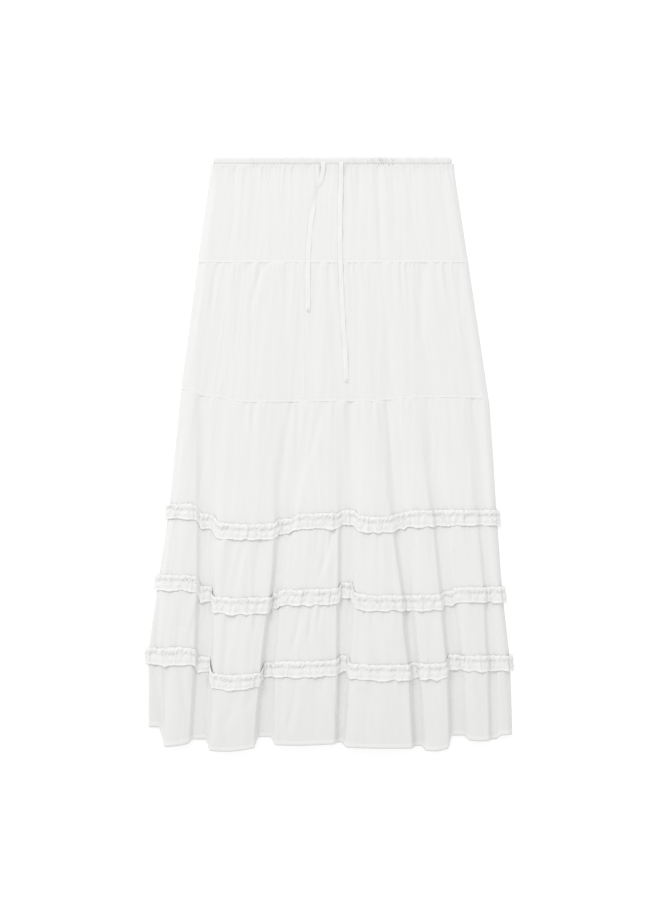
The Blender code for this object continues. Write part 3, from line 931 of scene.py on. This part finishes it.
# %% Shape the front tiers
def tier_front(number):
    top, bottom = number - 1, number
    height = on_line("y", top) - on_line("y", bottom)
    drops = drop_rows(height)[: -1 if bottom == HEM else None]
    levels = np.clip(level_at(top, drops), 0, HEM)
    if top == 0:
        levels = np.maximum(drops, 0) / height
    columns = round(LAST_THREAD / COLUMN)
    data, share, row = grid_of(f"tier_{number}_front", columns, len(drops) - 1)
    line, column = np.rint(row).astype(int), np.rint(share * columns).astype(int)
    across = across_at(levels, np.linspace(0, 1, columns + 1))[line, column]
    thread, drop, level = share * LAST_THREAD, drops[line], levels[line]
    rise = height - drop
    points = turned_down(front_points(across, level), level)
    if top == 0:
        points[:, 1] += np.maximum(-drop, 0)
    relief = front_relief(number, points, thread, drop, rise)
    if top == 0:
        relief += WAIST_MEETS * np.exp(-np.maximum(drop, 0) / WAIST_MEETS_OVER)
    else:
        relief -= TUCKED_BY * (1 - smoothstep((drop - TUCK_ENDS) / TUCK_FADES))
    layers_and_painted_shade = front_tone(across, level)
    if bottom == HEM:
        relief += hem_relief(thread, rise)
        layers_and_painted_shade += HEM_WHITER * band(rise, HEM_BAND)
    else:
        relief += seam_relief(number, thread, rise)
        layers_and_painted_shade += SEAM_WHITER * band(rise, SEAM_BAND)
    push_out(data, points, relief)
    give_uv(data, thread, drop)
    give_layers_and_painted_shade(data, layers_and_painted_shade)
    made = make_object(f"tier_{number}_front_cloth", data, panel_voile)
    wall(made, VOILE, -1)
    return made


fronts = {number: tier_front(number) for number in range(1, len(LINES))}
print("front tiers:", sum(len(made.data.polygons) for made in fronts.values()), "faces")

# %% [markdown]
# ## The back tiers
#
# The back lies flat on the surface and bears the front, so its gathers are shallower and only ever rise
# from the surface. It gets the same bands and hem as the front, on a coarser grid, and creases of its own.

# %% Shape the back tiers
BACK_COLUMN, BACK_ROW = 2.6, 4.5
BACK_GATHER = 0.9
BACK_STREAK = Streak(1062, 0.3, 17, 30)
BACK_PRESS, BACK_HIGHEST, BACK_LOWEST = 0.42, 0.9, 0.02
BACK_SIDE_LIFT = 0.3
BACK_WHITER = 0.2
BACK_WALL = 0.75 * VOILE

BACK_CREASES = [
    Crease(-120, 400, -128, 300, 2, 6, 0.5),
    Crease(52, 402, 60, 290, -2, 7, 0.5),
    Crease(140, 398, 150, 330, 1, 5, 0.4),
    Crease(-150, 262, -160, 150, -1, 7, 0.5),
    Crease(-40, 268, -52, 180, 2, 6, 0.5),
    Crease(95, 266, 104, 120, -2, 8, 0.5),
    Crease(-90, 70, -104, -60, 3, 8, 0.6),
    Crease(30, 74, 34, -50, -2, 7, 0.6),
    Crease(150, 60, 166, -70, 2, 8, 0.6),
    Crease(-170, -120, -178, -190, 1, 7, 0.5),
    Crease(70, -112, 76, -186, 0, 7, 0.5),
    Crease(-20, -222, -26, -290, 1, 7, 0.5),
    Crease(170, -220, 180, -288, 1, 7, 0.5),
    Crease(-130, -322, -140, -396, 2, 8, 0.5),
    Crease(20, -324, 26, -390, 0, 8, 0.5),
    Crease(150, -320, 160, -398, -1, 8, 0.5),
]


def tier_back(number):
    top, bottom = number - 1, number
    height = on_line("y", top) - on_line("y", bottom)
    rows = round(height / BACK_ROW)
    width = on_line("right", bottom) - on_line("left", bottom)
    data, share, row = grid_of(f"tier_{number}_back", round(width / BACK_COLUMN), rows)
    drop = row / rows * height
    points = back_points(share, level_at(top, drop))
    thread = share * LAST_THREAD
    relief = gathers(100 * number + 1000, thread, drop, BACK_GATHER)
    streak = pleats(100 * number + BACK_STREAK.seed, BACK_STREAK.spacing)(thread)
    relief += BACK_STREAK.height * streak * smoothstep(drop / BACK_STREAK.length)
    relief += creases(BACK_CREASES, points)
    relief = BACK_PRESS * (1 + np.tanh(relief))
    beside = np.minimum(share, 1 - share) * width
    relief += BACK_SIDE_LIFT * (1 - smoothstep(beside / SIDE_TURN))
    doubled = band(height - drop, HEM_BAND if bottom == HEM else SEAM_BAND)
    points[:, 2] += np.minimum(relief, BACK_HIGHEST) + BACK_LOWEST
    set_points(data, points)
    give_uv(data, thread, drop)
    give_layers_and_painted_shade(data, SINGLE + BACK_WHITER * doubled)
    made = make_object(f"tier_{number}_back_cloth", data, panel_voile)
    wall(made, BACK_WALL, 1)
    return made


backs = {number: tier_back(number) for number in range(1, len(LINES))}
print("back tiers:", sum(len(made.data.polygons) for made in backs.values()), "faces")

# %% [markdown]
# ## The ruffles
#
# A ruffle is a narrow strip, hemmed on both sides and gathered along a line a third of the way down. The
# gather stitch wanders a little and pinches the strip into slanting pits, deep in some places and nearly
# filled in others. Away from the stitch the pits open into flutes that lie half flat, crumpled where they
# meet: the edges scallop, lift a little off the cloth and curl over here and there. The strip starts as
# a grid in (distance along the seam, distance below the stitch), and the flutes shift its points along
# the seam, up or down it, and off the cloth. Behind the skirt its weight presses them nearly flat.

# %% Sizes of a ruffle
RUFFLE_COLUMN, RUFFLE_ROW = 0.95, 1.15
RUFFLE_HEIGHT = RUFFLE_ABOVE + RUFFLE_BELOW
RUFFLE_HOVER, RUFFLE_LOWEST = 0.85, -0.85  # off the front's face, and how far a pit may go back to it

Frill = namedtuple("Frill", "reach shortest longest stand scallop wave rim")
HEADER = Frill(RUFFLE_ABOVE, 2.4, 5.6, 1.6, 1.3, 5.5, 0.30)
SKIRTING = Frill(RUFFLE_BELOW, 3.4, 8.5, 1.9, 1.9, 12.0, 0.40)
LOW_FLUTES, HIGH_FLUTES = (0.0, 0.3), (0.5, 1.0)

SLANT, SLANTS_EVERY = 0.4, 27  # of the flutes: sideways for each millimetre down
STRAY, STRAYS_EVERY = 2.6, 13  # of the stitch line, up and down
FILLED, FILLED_EVERY = 0.35, 11  # how far the flutes reach back over the stitch line
OPENS_OVER = 0.35
HALF_FLAT = 0.6  # how much of its height a flute loses towards its free edge
LOOPS_EVERY = 17
CURL, LOOP_CURL = 0.3, 0.4
PITS_EVERY, PIT_DEPTH, PIT_WIDTH, PIT_BRIM = 2.9, (0.25, 1.15), 2.6, 0.3
CRUMPLES, CRUMPLE_DEPTH = 2.6, (0.35, 0.45)
SMOOTH_BELOW, SMOOTH_SHARE = 7, 0.75  # the crumples fade this far down the skirting, by this share
CRINKLE_EVERY, CRINKLE_RELIEF = 2.2, 0.12
print("a ruffle is", RUFFLE_HEIGHT, "mm high, with flutes up to", SKIRTING.longest, "mm wide")


# %% Flute a strip
def flutes(seed, frill, length):
    """Half waves along a strip. Read at s, they give a height, the half wave's width and the way through."""
    rng = np.random.default_rng(seed)
    widths = rng.uniform(frill.shortest, frill.longest, int(2 * length / frill.shortest))
    starts = np.cumsum(widths) - 4 * frill.longest
    low = rng.uniform(*LOW_FLUTES, len(widths))
    high = rng.uniform(*HIGH_FLUTES, len(widths))
    heights = np.where(np.arange(len(widths)) % 2, low, high)

    def read(s):
        after = np.clip(np.searchsorted(starts, s), 1, len(starts) - 1)
        width = starts[after] - starts[after - 1]
        t = (s - starts[after - 1]) / width
        height = heights[after - 1] + (heights[after] - heights[after - 1]) * smoothstep(t)
        return height, width, t

    return read


def crumple(seed, s, drop, size):
    """Dents and bumps as wide as they are long, that run into each other, from -1 to 1."""
    one = pleats(seed, size)(s + 0.9 * drop)
    other = pleats(seed + 1, 1.2 * size)(s - 0.8 * drop + 40)
    return 0.55 * (one + other) + 0.9 * one * other


def flute_strip(seed, s, drop, length, press):
    """How a gathered strip's points move: along the seam, down it, and off the cloth, in millimetres."""
    along, down, off = np.zeros(len(s)), np.zeros(len(s)), np.zeros(len(s))
    slant = SLANT * pleats(seed + 20, SLANTS_EVERY)(s)
    line = drop - STRAY * pleats(seed + 21, STRAYS_EVERY)(s)
    filled = FILLED * smoothstep(1.8 * pleats(seed + 22, FILLED_EVERY)(s))
    for part, (frill, outwards) in enumerate(((HEADER, -1), (SKIRTING, 1))):
        away = np.clip(outwards * drop / frill.reach, 0, 1)
        from_line = np.clip(outwards * line / frill.reach, 0, 1)
        height, width, t = flutes(seed + part, frill, length)(s + slant * drop)
        flatter = HALF_FLAT * smoothstep((away - 0.5) / 0.4)
        swell = smoothstep((from_line + filled) / OPENS_OVER) * (1 - flatter)
        loops = smoothstep(2.2 * pleats(seed + part + 11, LOOPS_EVERY)(s) - 0.8)
        wave = pleats(seed + part + 3, frill.wave)(s)
        edge = smoothstep((away - 0.4) / 0.5)
        rim = smoothstep((away - 0.80) / 0.10)
        off += press * (frill.stand * swell * height + 0.4 * smoothstep(2 * from_line) * (1 - edge))
        off += press * (0.35 * wave * edge + frill.rim * rim)
        curl = press * swell * (CURL + LOOP_CURL * loops)
        along += curl * width * np.sin(2 * np.pi * t) / (2 * np.pi)
        scallops = 0.7 * wave + 0.5 * (height - 0.4) + 0.45 * pleats(seed + part + 7, 27)(s)
        down += outwards * frill.scallop * away**1.5 * scallops
    patch = smoothstep(0.55 + 0.9 * pleats(seed + 12, 19)(s))
    pits = np.minimum(pleats(seed + 5, PITS_EVERY)(s + 0.5 * drop), PIT_BRIM)
    off += press * (PIT_DEPTH[0] + PIT_DEPTH[1] * patch) * pits * bell(line, PIT_WIDTH)
    crumpled = (CRUMPLE_DEPTH[0] + CRUMPLE_DEPTH[1] * patch) * crumple(seed + 30, s, drop, CRUMPLES)
    off += press * crumpled * (1 - SMOOTH_SHARE * smoothstep((drop - SMOOTH_BELOW) / 4))
    off += press * CRINKLE_RELIEF * pleats(seed + 6, CRINKLE_EVERY)(s - 0.5 * drop)
    return along, down, np.maximum(off, RUFFLE_LOWEST)


def ruffle_tone(drop):
    """Whiter at the two narrow hems, where the strip is doubled, with painted shade along the stitch line's
    pits.
    """
    hems = np.maximum(drop - RUFFLE_BELOW + 3.5, -drop - RUFFLE_ABOVE + 3)
    return SINGLE + 0.35 * smoothstep(hems / 1.5) - 0.30 * bell(drop, 3.0)


# %% Sew the ruffles on
PAST_SIDE_LEVEL = 1.6  # the height that a ruffle's ends bend down to, past the side seams
FRONT_COARSER, BACK_COARSER = (1.0, 1.0), (1.9, 1.6)
FRONT_PRESS, BACK_PRESSED = 1.0, 0.2
BACK_LIES, BACK_ENDS_LIFT = 0.03, 0.3


def fluted_grid(name, seed, length, coarser, press):
    """A strip's mesh, where its points are along the seam and below the stitch, and how far off the cloth."""
    columns = round((length + 2 * RUFFLE_OVERHANG) / (coarser[0] * RUFFLE_COLUMN))
    rows = round(RUFFLE_HEIGHT / (coarser[1] * RUFFLE_ROW))
    data, share, row = grid_of(name, columns, rows)
    s = share * (length + 2 * RUFFLE_OVERHANG) - RUFFLE_OVERHANG
    drop = row / rows * RUFFLE_HEIGHT - RUFFLE_ABOVE
    along, down, off = flute_strip(seed, s, drop, length, press)
    s, drop = s + along, drop + down
    give_uv(data, s, drop)
    give_layers_and_painted_shade(data, ruffle_tone(drop))
    return data, s, drop, off


def ruffle_front(number, line_level):
    across_list, along_list = thread_table(line_level)
    length = along_list[-1]
    name = f"ruffle_{number}_front"
    data, s, drop, off = fluted_grid(name, 3000 + 20 * number, length, FRONT_COARSER, FRONT_PRESS)
    held = np.clip(s, 0, length)
    past = s - held
    points = front_points(np.interp(held, along_list, across_list), level_at(line_level, drop))
    points[:, 0] += past
    points[:, 2] -= (points[:, 2] - PAST_SIDE_LEVEL) * smoothstep(np.abs(past) / (1.4 * RUFFLE_OVERHANG))
    push_out(data, points, RUFFLE_HOVER + off)
    made = make_object(f"{name}_cloth", data, ruffle_voile)
    wall(made, VOILE, -1)
    return made


def ruffle_back(number, line_level):
    length = on_line("right", line_level) - on_line("left", line_level)
    name = f"ruffle_{number}_back"
    data, s, drop, off = fluted_grid(name, 4000 + 20 * number, length, BACK_COARSER, BACK_PRESSED)
    held = np.clip(s, 0, length)
    past = s - held
    points = back_points(held / length, level_at(line_level, drop))
    points[:, 0] += past
    points[:, 2] = BACK_LIES + np.clip(off, 0, -RUFFLE_LOWEST)
    points[:, 2] += BACK_ENDS_LIFT * smoothstep(np.abs(past) / RUFFLE_OVERHANG)
    set_points(data, points)
    made = make_object(f"{name}_cloth", data, ruffle_voile)
    wall(made, 0.7 * VOILE, 1)
    return made


ruffles = {}
for number, line_level in enumerate(RUFFLE_LEVELS, 1):
    ruffles[f"ruffle_{number}_front"] = ruffle_front(number, line_level)
    ruffles[f"ruffle_{number}_back"] = ruffle_back(number, line_level)
print("ruffles:", sum(len(made.data.polygons) for made in ruffles.values()), "faces")

# %% [markdown]
# ## The waist casing
#
# The casing is a folded band with elastic and the drawstring inside. Drawn up, it is a narrow flattened
# tube covered in slanting puckers, closest where the elastic pulls hardest, and smooth only between the
# two places where the drawstring comes out. A sphere's rings make a closed tube with rounded ends: each
# ring is moved to its place along the waist and squeezed to the band's section.

# %% Shape the casing
CASING_RINGS, CASING_AROUND = 380, 30
SMOOTH_FROM, SMOOTH_TO = -12.0, 19.0  # between the two ties
STRONG_FROM, STRONG_TO = 54.0, 98.0
WAIST_PULL, PULL_SWING, PULLS_EVERY, STRONGER, SMOOTHER = 0.62, 0.28, 18, 0.55, 0.85
PUCKER_SLANT = 0.55
FLATNESS, ROUNDNESS = 0.62, 0.8  # under 1: fuller than a round section, over it and beside it
CASING_LIFT = {"back": 0.35, "front": CASING_WALL + GAP}
BACK_PUCKERS = 0.4
CASING_STITCH, CASING_GROOVE = 3.2, 0.40  # the groove lies this far below the band's middle
CALM_LEFT, CALM_LEFT_SHARE = 24, 0.6  # the left end is drawn up least


def pucker_strength(x):
    """How strongly the casing is drawn up at x."""
    strength = WAIST_PULL + PULL_SWING * pleats(52, PULLS_EVERY)(x)
    strong = smoothstep((x - STRONG_FROM) / 6) * smoothstep((STRONG_TO - x) / 6)
    smooth = smoothstep((x - SMOOTH_FROM + 4) / 4) * smoothstep((SMOOTH_TO + 4 - x) / 4)
    return (strength + STRONGER * strong) * (1 - SMOOTHER * smooth)


def fuller(wave, power):
    """A sine or cosine pushed out towards a square section."""
    return np.sign(wave) * np.abs(wave) ** power


def waist_casing(side):
    left, right = LINES["waist"].left + CASING_INSET, LINES["waist"].right - CASING_INSET
    mesh = bmesh.new()
    bmesh.ops.create_uvsphere(mesh, u_segments=CASING_AROUND, v_segments=CASING_RINGS, radius=1.0)
    sphere = np.array([vert.co for vert in mesh.verts])
    data = mesh_data(mesh, f"waist_casing_{side}")
    along = np.arccos(np.clip(sphere[:, 2], -1, 1)) / np.pi
    around = np.arctan2(sphere[:, 1], sphere[:, 0])
    x = left + (right - left) * along
    into_corner = np.clip(1 - np.minimum(x - left, right - x) / CASING_CORNER, 0, 1)
    size = np.sqrt(1 - into_corner**2)
    half_width = (CASING_TOP - CASING_BOTTOM) / 2
    across_band = fuller(np.cos(around), ROUNDNESS) * half_width
    y = CASING_BOTTOM + half_width + size * across_band
    z = CASING_LIFT[side] + CASING_WALL / 2 * (1 + size * fuller(np.sin(around), FLATNESS))
    strength = pucker_strength(x) if side == "front" else 0.3 + 0.1 * pleats(57, PULLS_EVERY)(x)
    slant = x + PUCKER_SLANT * across_band
    pucker = 1.05 * pleats(53, 2.2)(slant) + 0.4 * pleats(54, 1.7)(slant - 0.9 * across_band)
    groove = CASING_GROOVE * (0.6 + 0.6 * pleats(55, 4)(x)) * bell(across_band + CASING_STITCH, 0.9)
    relief = (pucker * strength - groove * (0.5 + 0.5 * strength)) * size
    relief *= 1 - CALM_LEFT_SHARE * smoothstep((left + CALM_LEFT - x) / 10)
    push_out(data, np.column_stack([x, y, z]), relief if side == "front" else BACK_PUCKERS * relief)
    give_uv(data, x - left, y)
    # painted light: the casing is drawn whiter towards its top, and painted shade greys its lower side
    painted_top_light_low_shade = smoothstep(across_band / half_width) - smoothstep(-across_band / 4 - 0.3)
    give_layers_and_painted_shade(data, SINGLE + 0.5 * painted_top_light_low_shade)
    return make_object(f"waist_casing_{side}_cloth", data, casing_voile)


casings = {side: waist_casing(side) for side in CASING_LIFT}
print("casings:", sum(len(made.data.polygons) for made in casings.values()), "faces")

# %% [markdown]
# ## The ties
#
# A tie is a strip of voile folded to 7 mm and stitched along its open edge, so it has a rounded fold, a
# flatter stitched edge and a groove of stitches beside it. It is limp: it comes off the casing's face and
# settles on the cloth, bridging the small gathers, and it rolls a little as it falls. A grid rolled up
# into a tube gives that: one direction runs round the section, and the other runs along the route.

# %% Shape the ties
TIE_THICKNESS = 0.55
TIE_RINGS_STEP = 1.5
TIE_AROUND = 20
OFF_CASING = 0.6  # how far a tie settles while it is still on the casing
LEAVES_CASING, SETTLES_OVER = 5.0, 16.0
BRIDGES = 7  # rings over which the heights of the cloth under a tie are evened out
BURIED, EMERGES_OVER = 1.5, 3.5  # a tie's first end lies inside the casing's face, and comes up out of it
EDGE_THICKER, EDGE_FROM, EDGE_OVER = 0.5, 0.6, 0.25
TIE_GROOVE, GROOVE_PLACE, GROOVE_WIDTH = 0.16, 0.27, 0.5


def mesh_points(made):
    return np.array([vert.co for vert in made.data.vertices]) / MM


def laid_on_cloth(path):
    """The path again at close steps, settled on the highest cloth that the tie's width covers."""
    s, laid = in_steps(path, TIE_RINGS_STEP)
    cloth = np.vstack([mesh_points(fronts[number]) for number in (1, 2)])
    covers = TIE_WIDTH / 2 + 2
    highest = [cloth[np.hypot(cloth[:, 0] - x, cloth[:, 1] - y) < covers, 2].max() for x, y, _ in laid]
    even = np.convolve(np.pad(highest, BRIDGES // 2, mode="edge"), np.ones(BRIDGES) / BRIDGES, mode="valid")
    settled = smoothstep((s - LEAVES_CASING) / SETTLES_OVER)
    laid[:, 2] += (even + 0.7 * TIE_THICKNESS - laid[:, 2]) * settled - OFF_CASING * (1 - settled)
    laid[:, 2] -= BURIED * (1 - smoothstep(s / EMERGES_OVER))
    return laid


def tube_along(name, path, width_at, roll_at):
    """A flat tube along a path in millimetres: its width and its roll are read at the distance along it."""
    length = distances(path)[-1]
    rings = round(length / TIE_RINGS_STEP)
    data, share, row = grid_of(name, TIE_AROUND, rings)
    s = row / rings * length
    forward = read_path(path, s + 2) - read_path(path, s - 2)
    forward /= np.linalg.norm(forward, axis=1)[:, None]
    side = np.cross(forward, [0, 0, 1.0])
    side /= np.linalg.norm(side, axis=1)[:, None]
    up = np.cross(side, forward)
    angle, width, roll = 2 * np.pi * share, width_at(s), roll_at(s)
    flat = np.cos(angle) * width / 2
    edge = np.abs(np.cos(angle))
    thicker = 1 + EDGE_THICKER * smoothstep((edge - EDGE_FROM) / EDGE_OVER)
    thick = np.sin(angle) * TIE_THICKNESS / 2 * thicker
    thick -= TIE_GROOVE * bell(flat - GROOVE_PLACE * width, GROOVE_WIDTH) * np.sign(np.sin(angle))
    out = flat * np.cos(roll) - thick * np.sin(roll)
    over = flat * np.sin(roll) + thick * np.cos(roll)
    points = read_path(path, s) + side * out[:, None] + up * over[:, None]
    set_points(data, points)
    give_uv(data, flat + 10, s)
    # painted highlight: the tie is drawn whiter along its two rounded edges
    give_layers_and_painted_shade(data, SINGLE + 0.5 * edge**2)

    mesh = bmesh.new()
    mesh.from_mesh(data)
    bmesh.ops.remove_doubles(mesh, verts=mesh.verts, dist=0.02 * MM)
    bmesh.ops.holes_fill(mesh, edges=[edge for edge in mesh.edges if edge.is_boundary])
    bmesh.ops.recalc_face_normals(mesh, faces=mesh.faces)
    mesh.to_mesh(data)
    mesh.free()
    return make_object(name, data, tie_voile)


# The left tie narrows and rolls partly onto its side some 45 mm along.
def left_width(s):
    return 6.6 - 1.6 * bell(s - 44, 12) + 0.3 * pleats(81, 12)(s)


def left_roll(s):
    return 0.7 * bell(s - 46, 14) + 0.14 * pleats(82, 22)(s)


def right_width(s):
    return 6.4 + 0.35 * pleats(83, 14)(s)


def right_roll(s):
    return 0.16 * pleats(84, 24)(s) * smoothstep(s / 30)


shapes = {"drawstring_left": (left_width, left_roll), "drawstring_right": (right_width, right_roll)}
laid_paths = {name: laid_on_cloth(path) for name, path in TIE_PATHS.items()}
ties = {}
for name, (width_at, roll_at) in shapes.items():
    ties[name] = tube_along(f"{name}_cloth", laid_paths[name], width_at, roll_at)
    below = (TIE_PATHS[name][-1] - laid_paths[name][-1])[2]
    print(name, "ends", round(below, 2), "mm below its solid's middle")

# %% [markdown]
# Each tie ends in a small overhand knot. A trefoil is that knot's own line, so a round curve along a
# small flattened trefoil gives it. A curve is turned into a mesh before it is put in its place.

# %% Tie the end knots
KNOT_RADIUS, KNOT_CORD, KNOT_STEPS = 0.95, 0.75, 72
KNOT_SQUASH, KNOT_WEAVE, KNOT_LIFT = 0.75, 0.5, 0.2
KNOT_TURN = 0.6
ENDS_OVER = 10  # rings of a tie that give the way its end points


def end_knot(name, end, before):
    data = bpy.data.curves.new(name, "CURVE")
    data.dimensions = "3D"
    data.bevel_depth = KNOT_CORD * MM
    data.bevel_resolution = 3
    spline = data.splines.new("POLY")
    turns = np.linspace(0, 2 * np.pi, KNOT_STEPS, endpoint=False)
    spline.points.add(len(turns) - 1)
    spline.use_cyclic_u = True
    for point, t in zip(spline.points, turns):
        reach = (2 + math.cos(3 * t)) * KNOT_RADIUS
        x, y = reach * math.cos(2 * t), KNOT_SQUASH * reach * math.sin(2 * t)
        point.co = (x * MM, y * MM, (KNOT_WEAVE * math.sin(3 * t) + KNOT_LIFT) * MM, 1.0)
    holder = bpy.data.objects.new(name, data)
    mesh = bpy.data.meshes.new_from_object(holder)
    bpy.data.objects.remove(holder)
    bpy.data.curves.remove(data)
    run = Vector(end - before)
    turn = Matrix.Rotation(math.atan2(run.y, run.x) + KNOT_TURN, 4, "Z")
    mesh.transform(Matrix.Translation(Vector(end) * MM) @ turn)
    points = np.array([vert.co for vert in mesh.vertices]) / MM
    give_uv(mesh, points[:, 0], points[:, 1])
    give_layers_and_painted_shade(mesh, np.full(len(points), SINGLE))
    return make_object(name, mesh, tie_voile)


knots = {}
for name, path in laid_paths.items():
    knots[name] = end_knot(name.replace("drawstring", "end_knot"), path[-1], path[-ENDS_OVER])
print("end knots:", [knot.name for knot in knots.values()])

# %% [markdown]
# ## Stitches
#
# Rows of stitches hold it all: one along the hem, one above each plain seam and one down the middle of
# each ruffle. A stitch is a small stretched ball with few faces, because there are many hundreds of them.
# A ray straight down finds the cloth under each place on a row. Each row is one joined mesh.

# %% Sew the rows
STITCH_LENGTH, STITCH_PITCH, STITCH_WIDTH = 2.3, 3.2, 0.42
STITCH_LIES = 0.1  # off the cloth's face
ROW_ENDS = 3
RAYS_FROM = 0.1  # metres up


def stitch_row(name, places, normals):
    """One stitch at every place but the last, along the line to the next one."""
    mesh = bmesh.new()
    for place, following, normal in zip(places, places[1:], normals):
        along = Vector(following - place)
        if along.length > 2 * STITCH_PITCH:
            continue
        along.normalize()
        up = Vector(normal).normalized()
        side = up.cross(along).normalized()
        turn = Matrix((along, side, along.cross(side))).transposed().to_4x4()
        stretch = Matrix.Diagonal((STITCH_LENGTH / 2, STITCH_WIDTH / 2, STITCH_WIDTH / 2, 1))
        spot = Matrix.Translation(Vector((place + following) / 2) * MM)
        bmesh.ops.create_uvsphere(
            mesh, u_segments=6, v_segments=4, radius=MM, matrix=spot @ turn @ stretch
        )
    return make_object(name, mesh_data(mesh, name), sewing_thread)


def sew_on_front(name, piece, line_level, drop):
    """A row on a front piece, along a line and this far below it."""
    across_list, along_list = thread_table(line_level)
    s = np.arange(ROW_ENDS, along_list[-1] - ROW_ENDS, STITCH_PITCH)
    plan = front_points(np.interp(s, along_list, across_list), np.full(len(s), level_at(line_level, drop)))
    places, normals = [], []
    for x, y, _ in plan:
        hit, place, normal, _ = piece.ray_cast(Vector((x * MM, y * MM, RAYS_FROM)), Vector((0, 0, -1)))
        if hit:
            places.append(np.array(place) / MM + np.array(normal) * STITCH_LIES)
            normals.append(np.array(normal))
    return stitch_row(name, places, normals)


bpy.context.view_layer.update()
rows_to_sew = [
    ("hem_stitches", fronts[HEM], HEM, -HEM_BAND),
    ("seam_1_stitches", fronts[1], 1, -SEAM_STITCH),
    ("seam_2_stitches", fronts[2], 2, -SEAM_STITCH),
]
for number, line_level in enumerate(RUFFLE_LEVELS, 1):
    rows_to_sew.append((f"ruffle_{number}_stitches", ruffles[f"ruffle_{number}_front"], line_level, 0.0))
stitches = [(sew_on_front(name, piece, *where), piece) for name, piece, *where in rows_to_sew]
print("stitches:", sum(len(made.data.polygons) for made, _ in stitches), "faces")

# %% [markdown]
# ## Join it to the frame
#
# Every piece rides on the skirt's one body, and the solid that it stands for is hidden; its stitches ride
# with it. Each cloth piece is listed with a slot name and the size that its strip is cut to: a tier's strip
# is as long as its lower line over the folds, and a ruffle's is its line's length times its fullness. Both
# fullnesses are guesses from how close the flutes and the puckers sit: 1.3 for a ruffle and 1.1 for the
# casing. Each tie rides on the body too, with its end knot, and its solid is hidden.

RUFFLE_FULLNESS = 1.3
CASING_FULLNESS = 1.1


def straight_length(level):
    return on_line("right", level) - on_line("left", level)


LENGTH = {"front": line_length, "back": straight_length}
sheets = []
for side, tiers in {"front": fronts, "back": backs}.items():
    for number, made in tiers.items():
        height = on_line("y", number - 1) - on_line("y", number)
        sheets.append((made, LENGTH[side](number), height, "crinkle_cotton"))
for number, line_level in enumerate(RUFFLE_LEVELS, 1):
    for side, length_at in LENGTH.items():
        made = ruffles[f"ruffle_{number}_{side}"]
        sheets.append((made, length_at(line_level) * RUFFLE_FULLNESS, RUFFLE_HEIGHT, "ruffle_cotton"))
for made in casings.values():
    width = straight_length(0) * CASING_FULLNESS
    sheets.append((made, width, CASING_TOP - CASING_BOTTOM, "casing_cotton"))
for made, width, height, slot in sheets:
    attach(made, "root")
    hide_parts(made.name.removesuffix("_cloth"))
    with_it = [stitch for stitch, piece in stitches if piece == made]
    for stitch in with_it:
        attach(stitch, "root")
for name, made in ties.items():
    path = TIE_PATHS[name]
    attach(made, "root")
    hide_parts(name)
    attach(knots[name], "root")
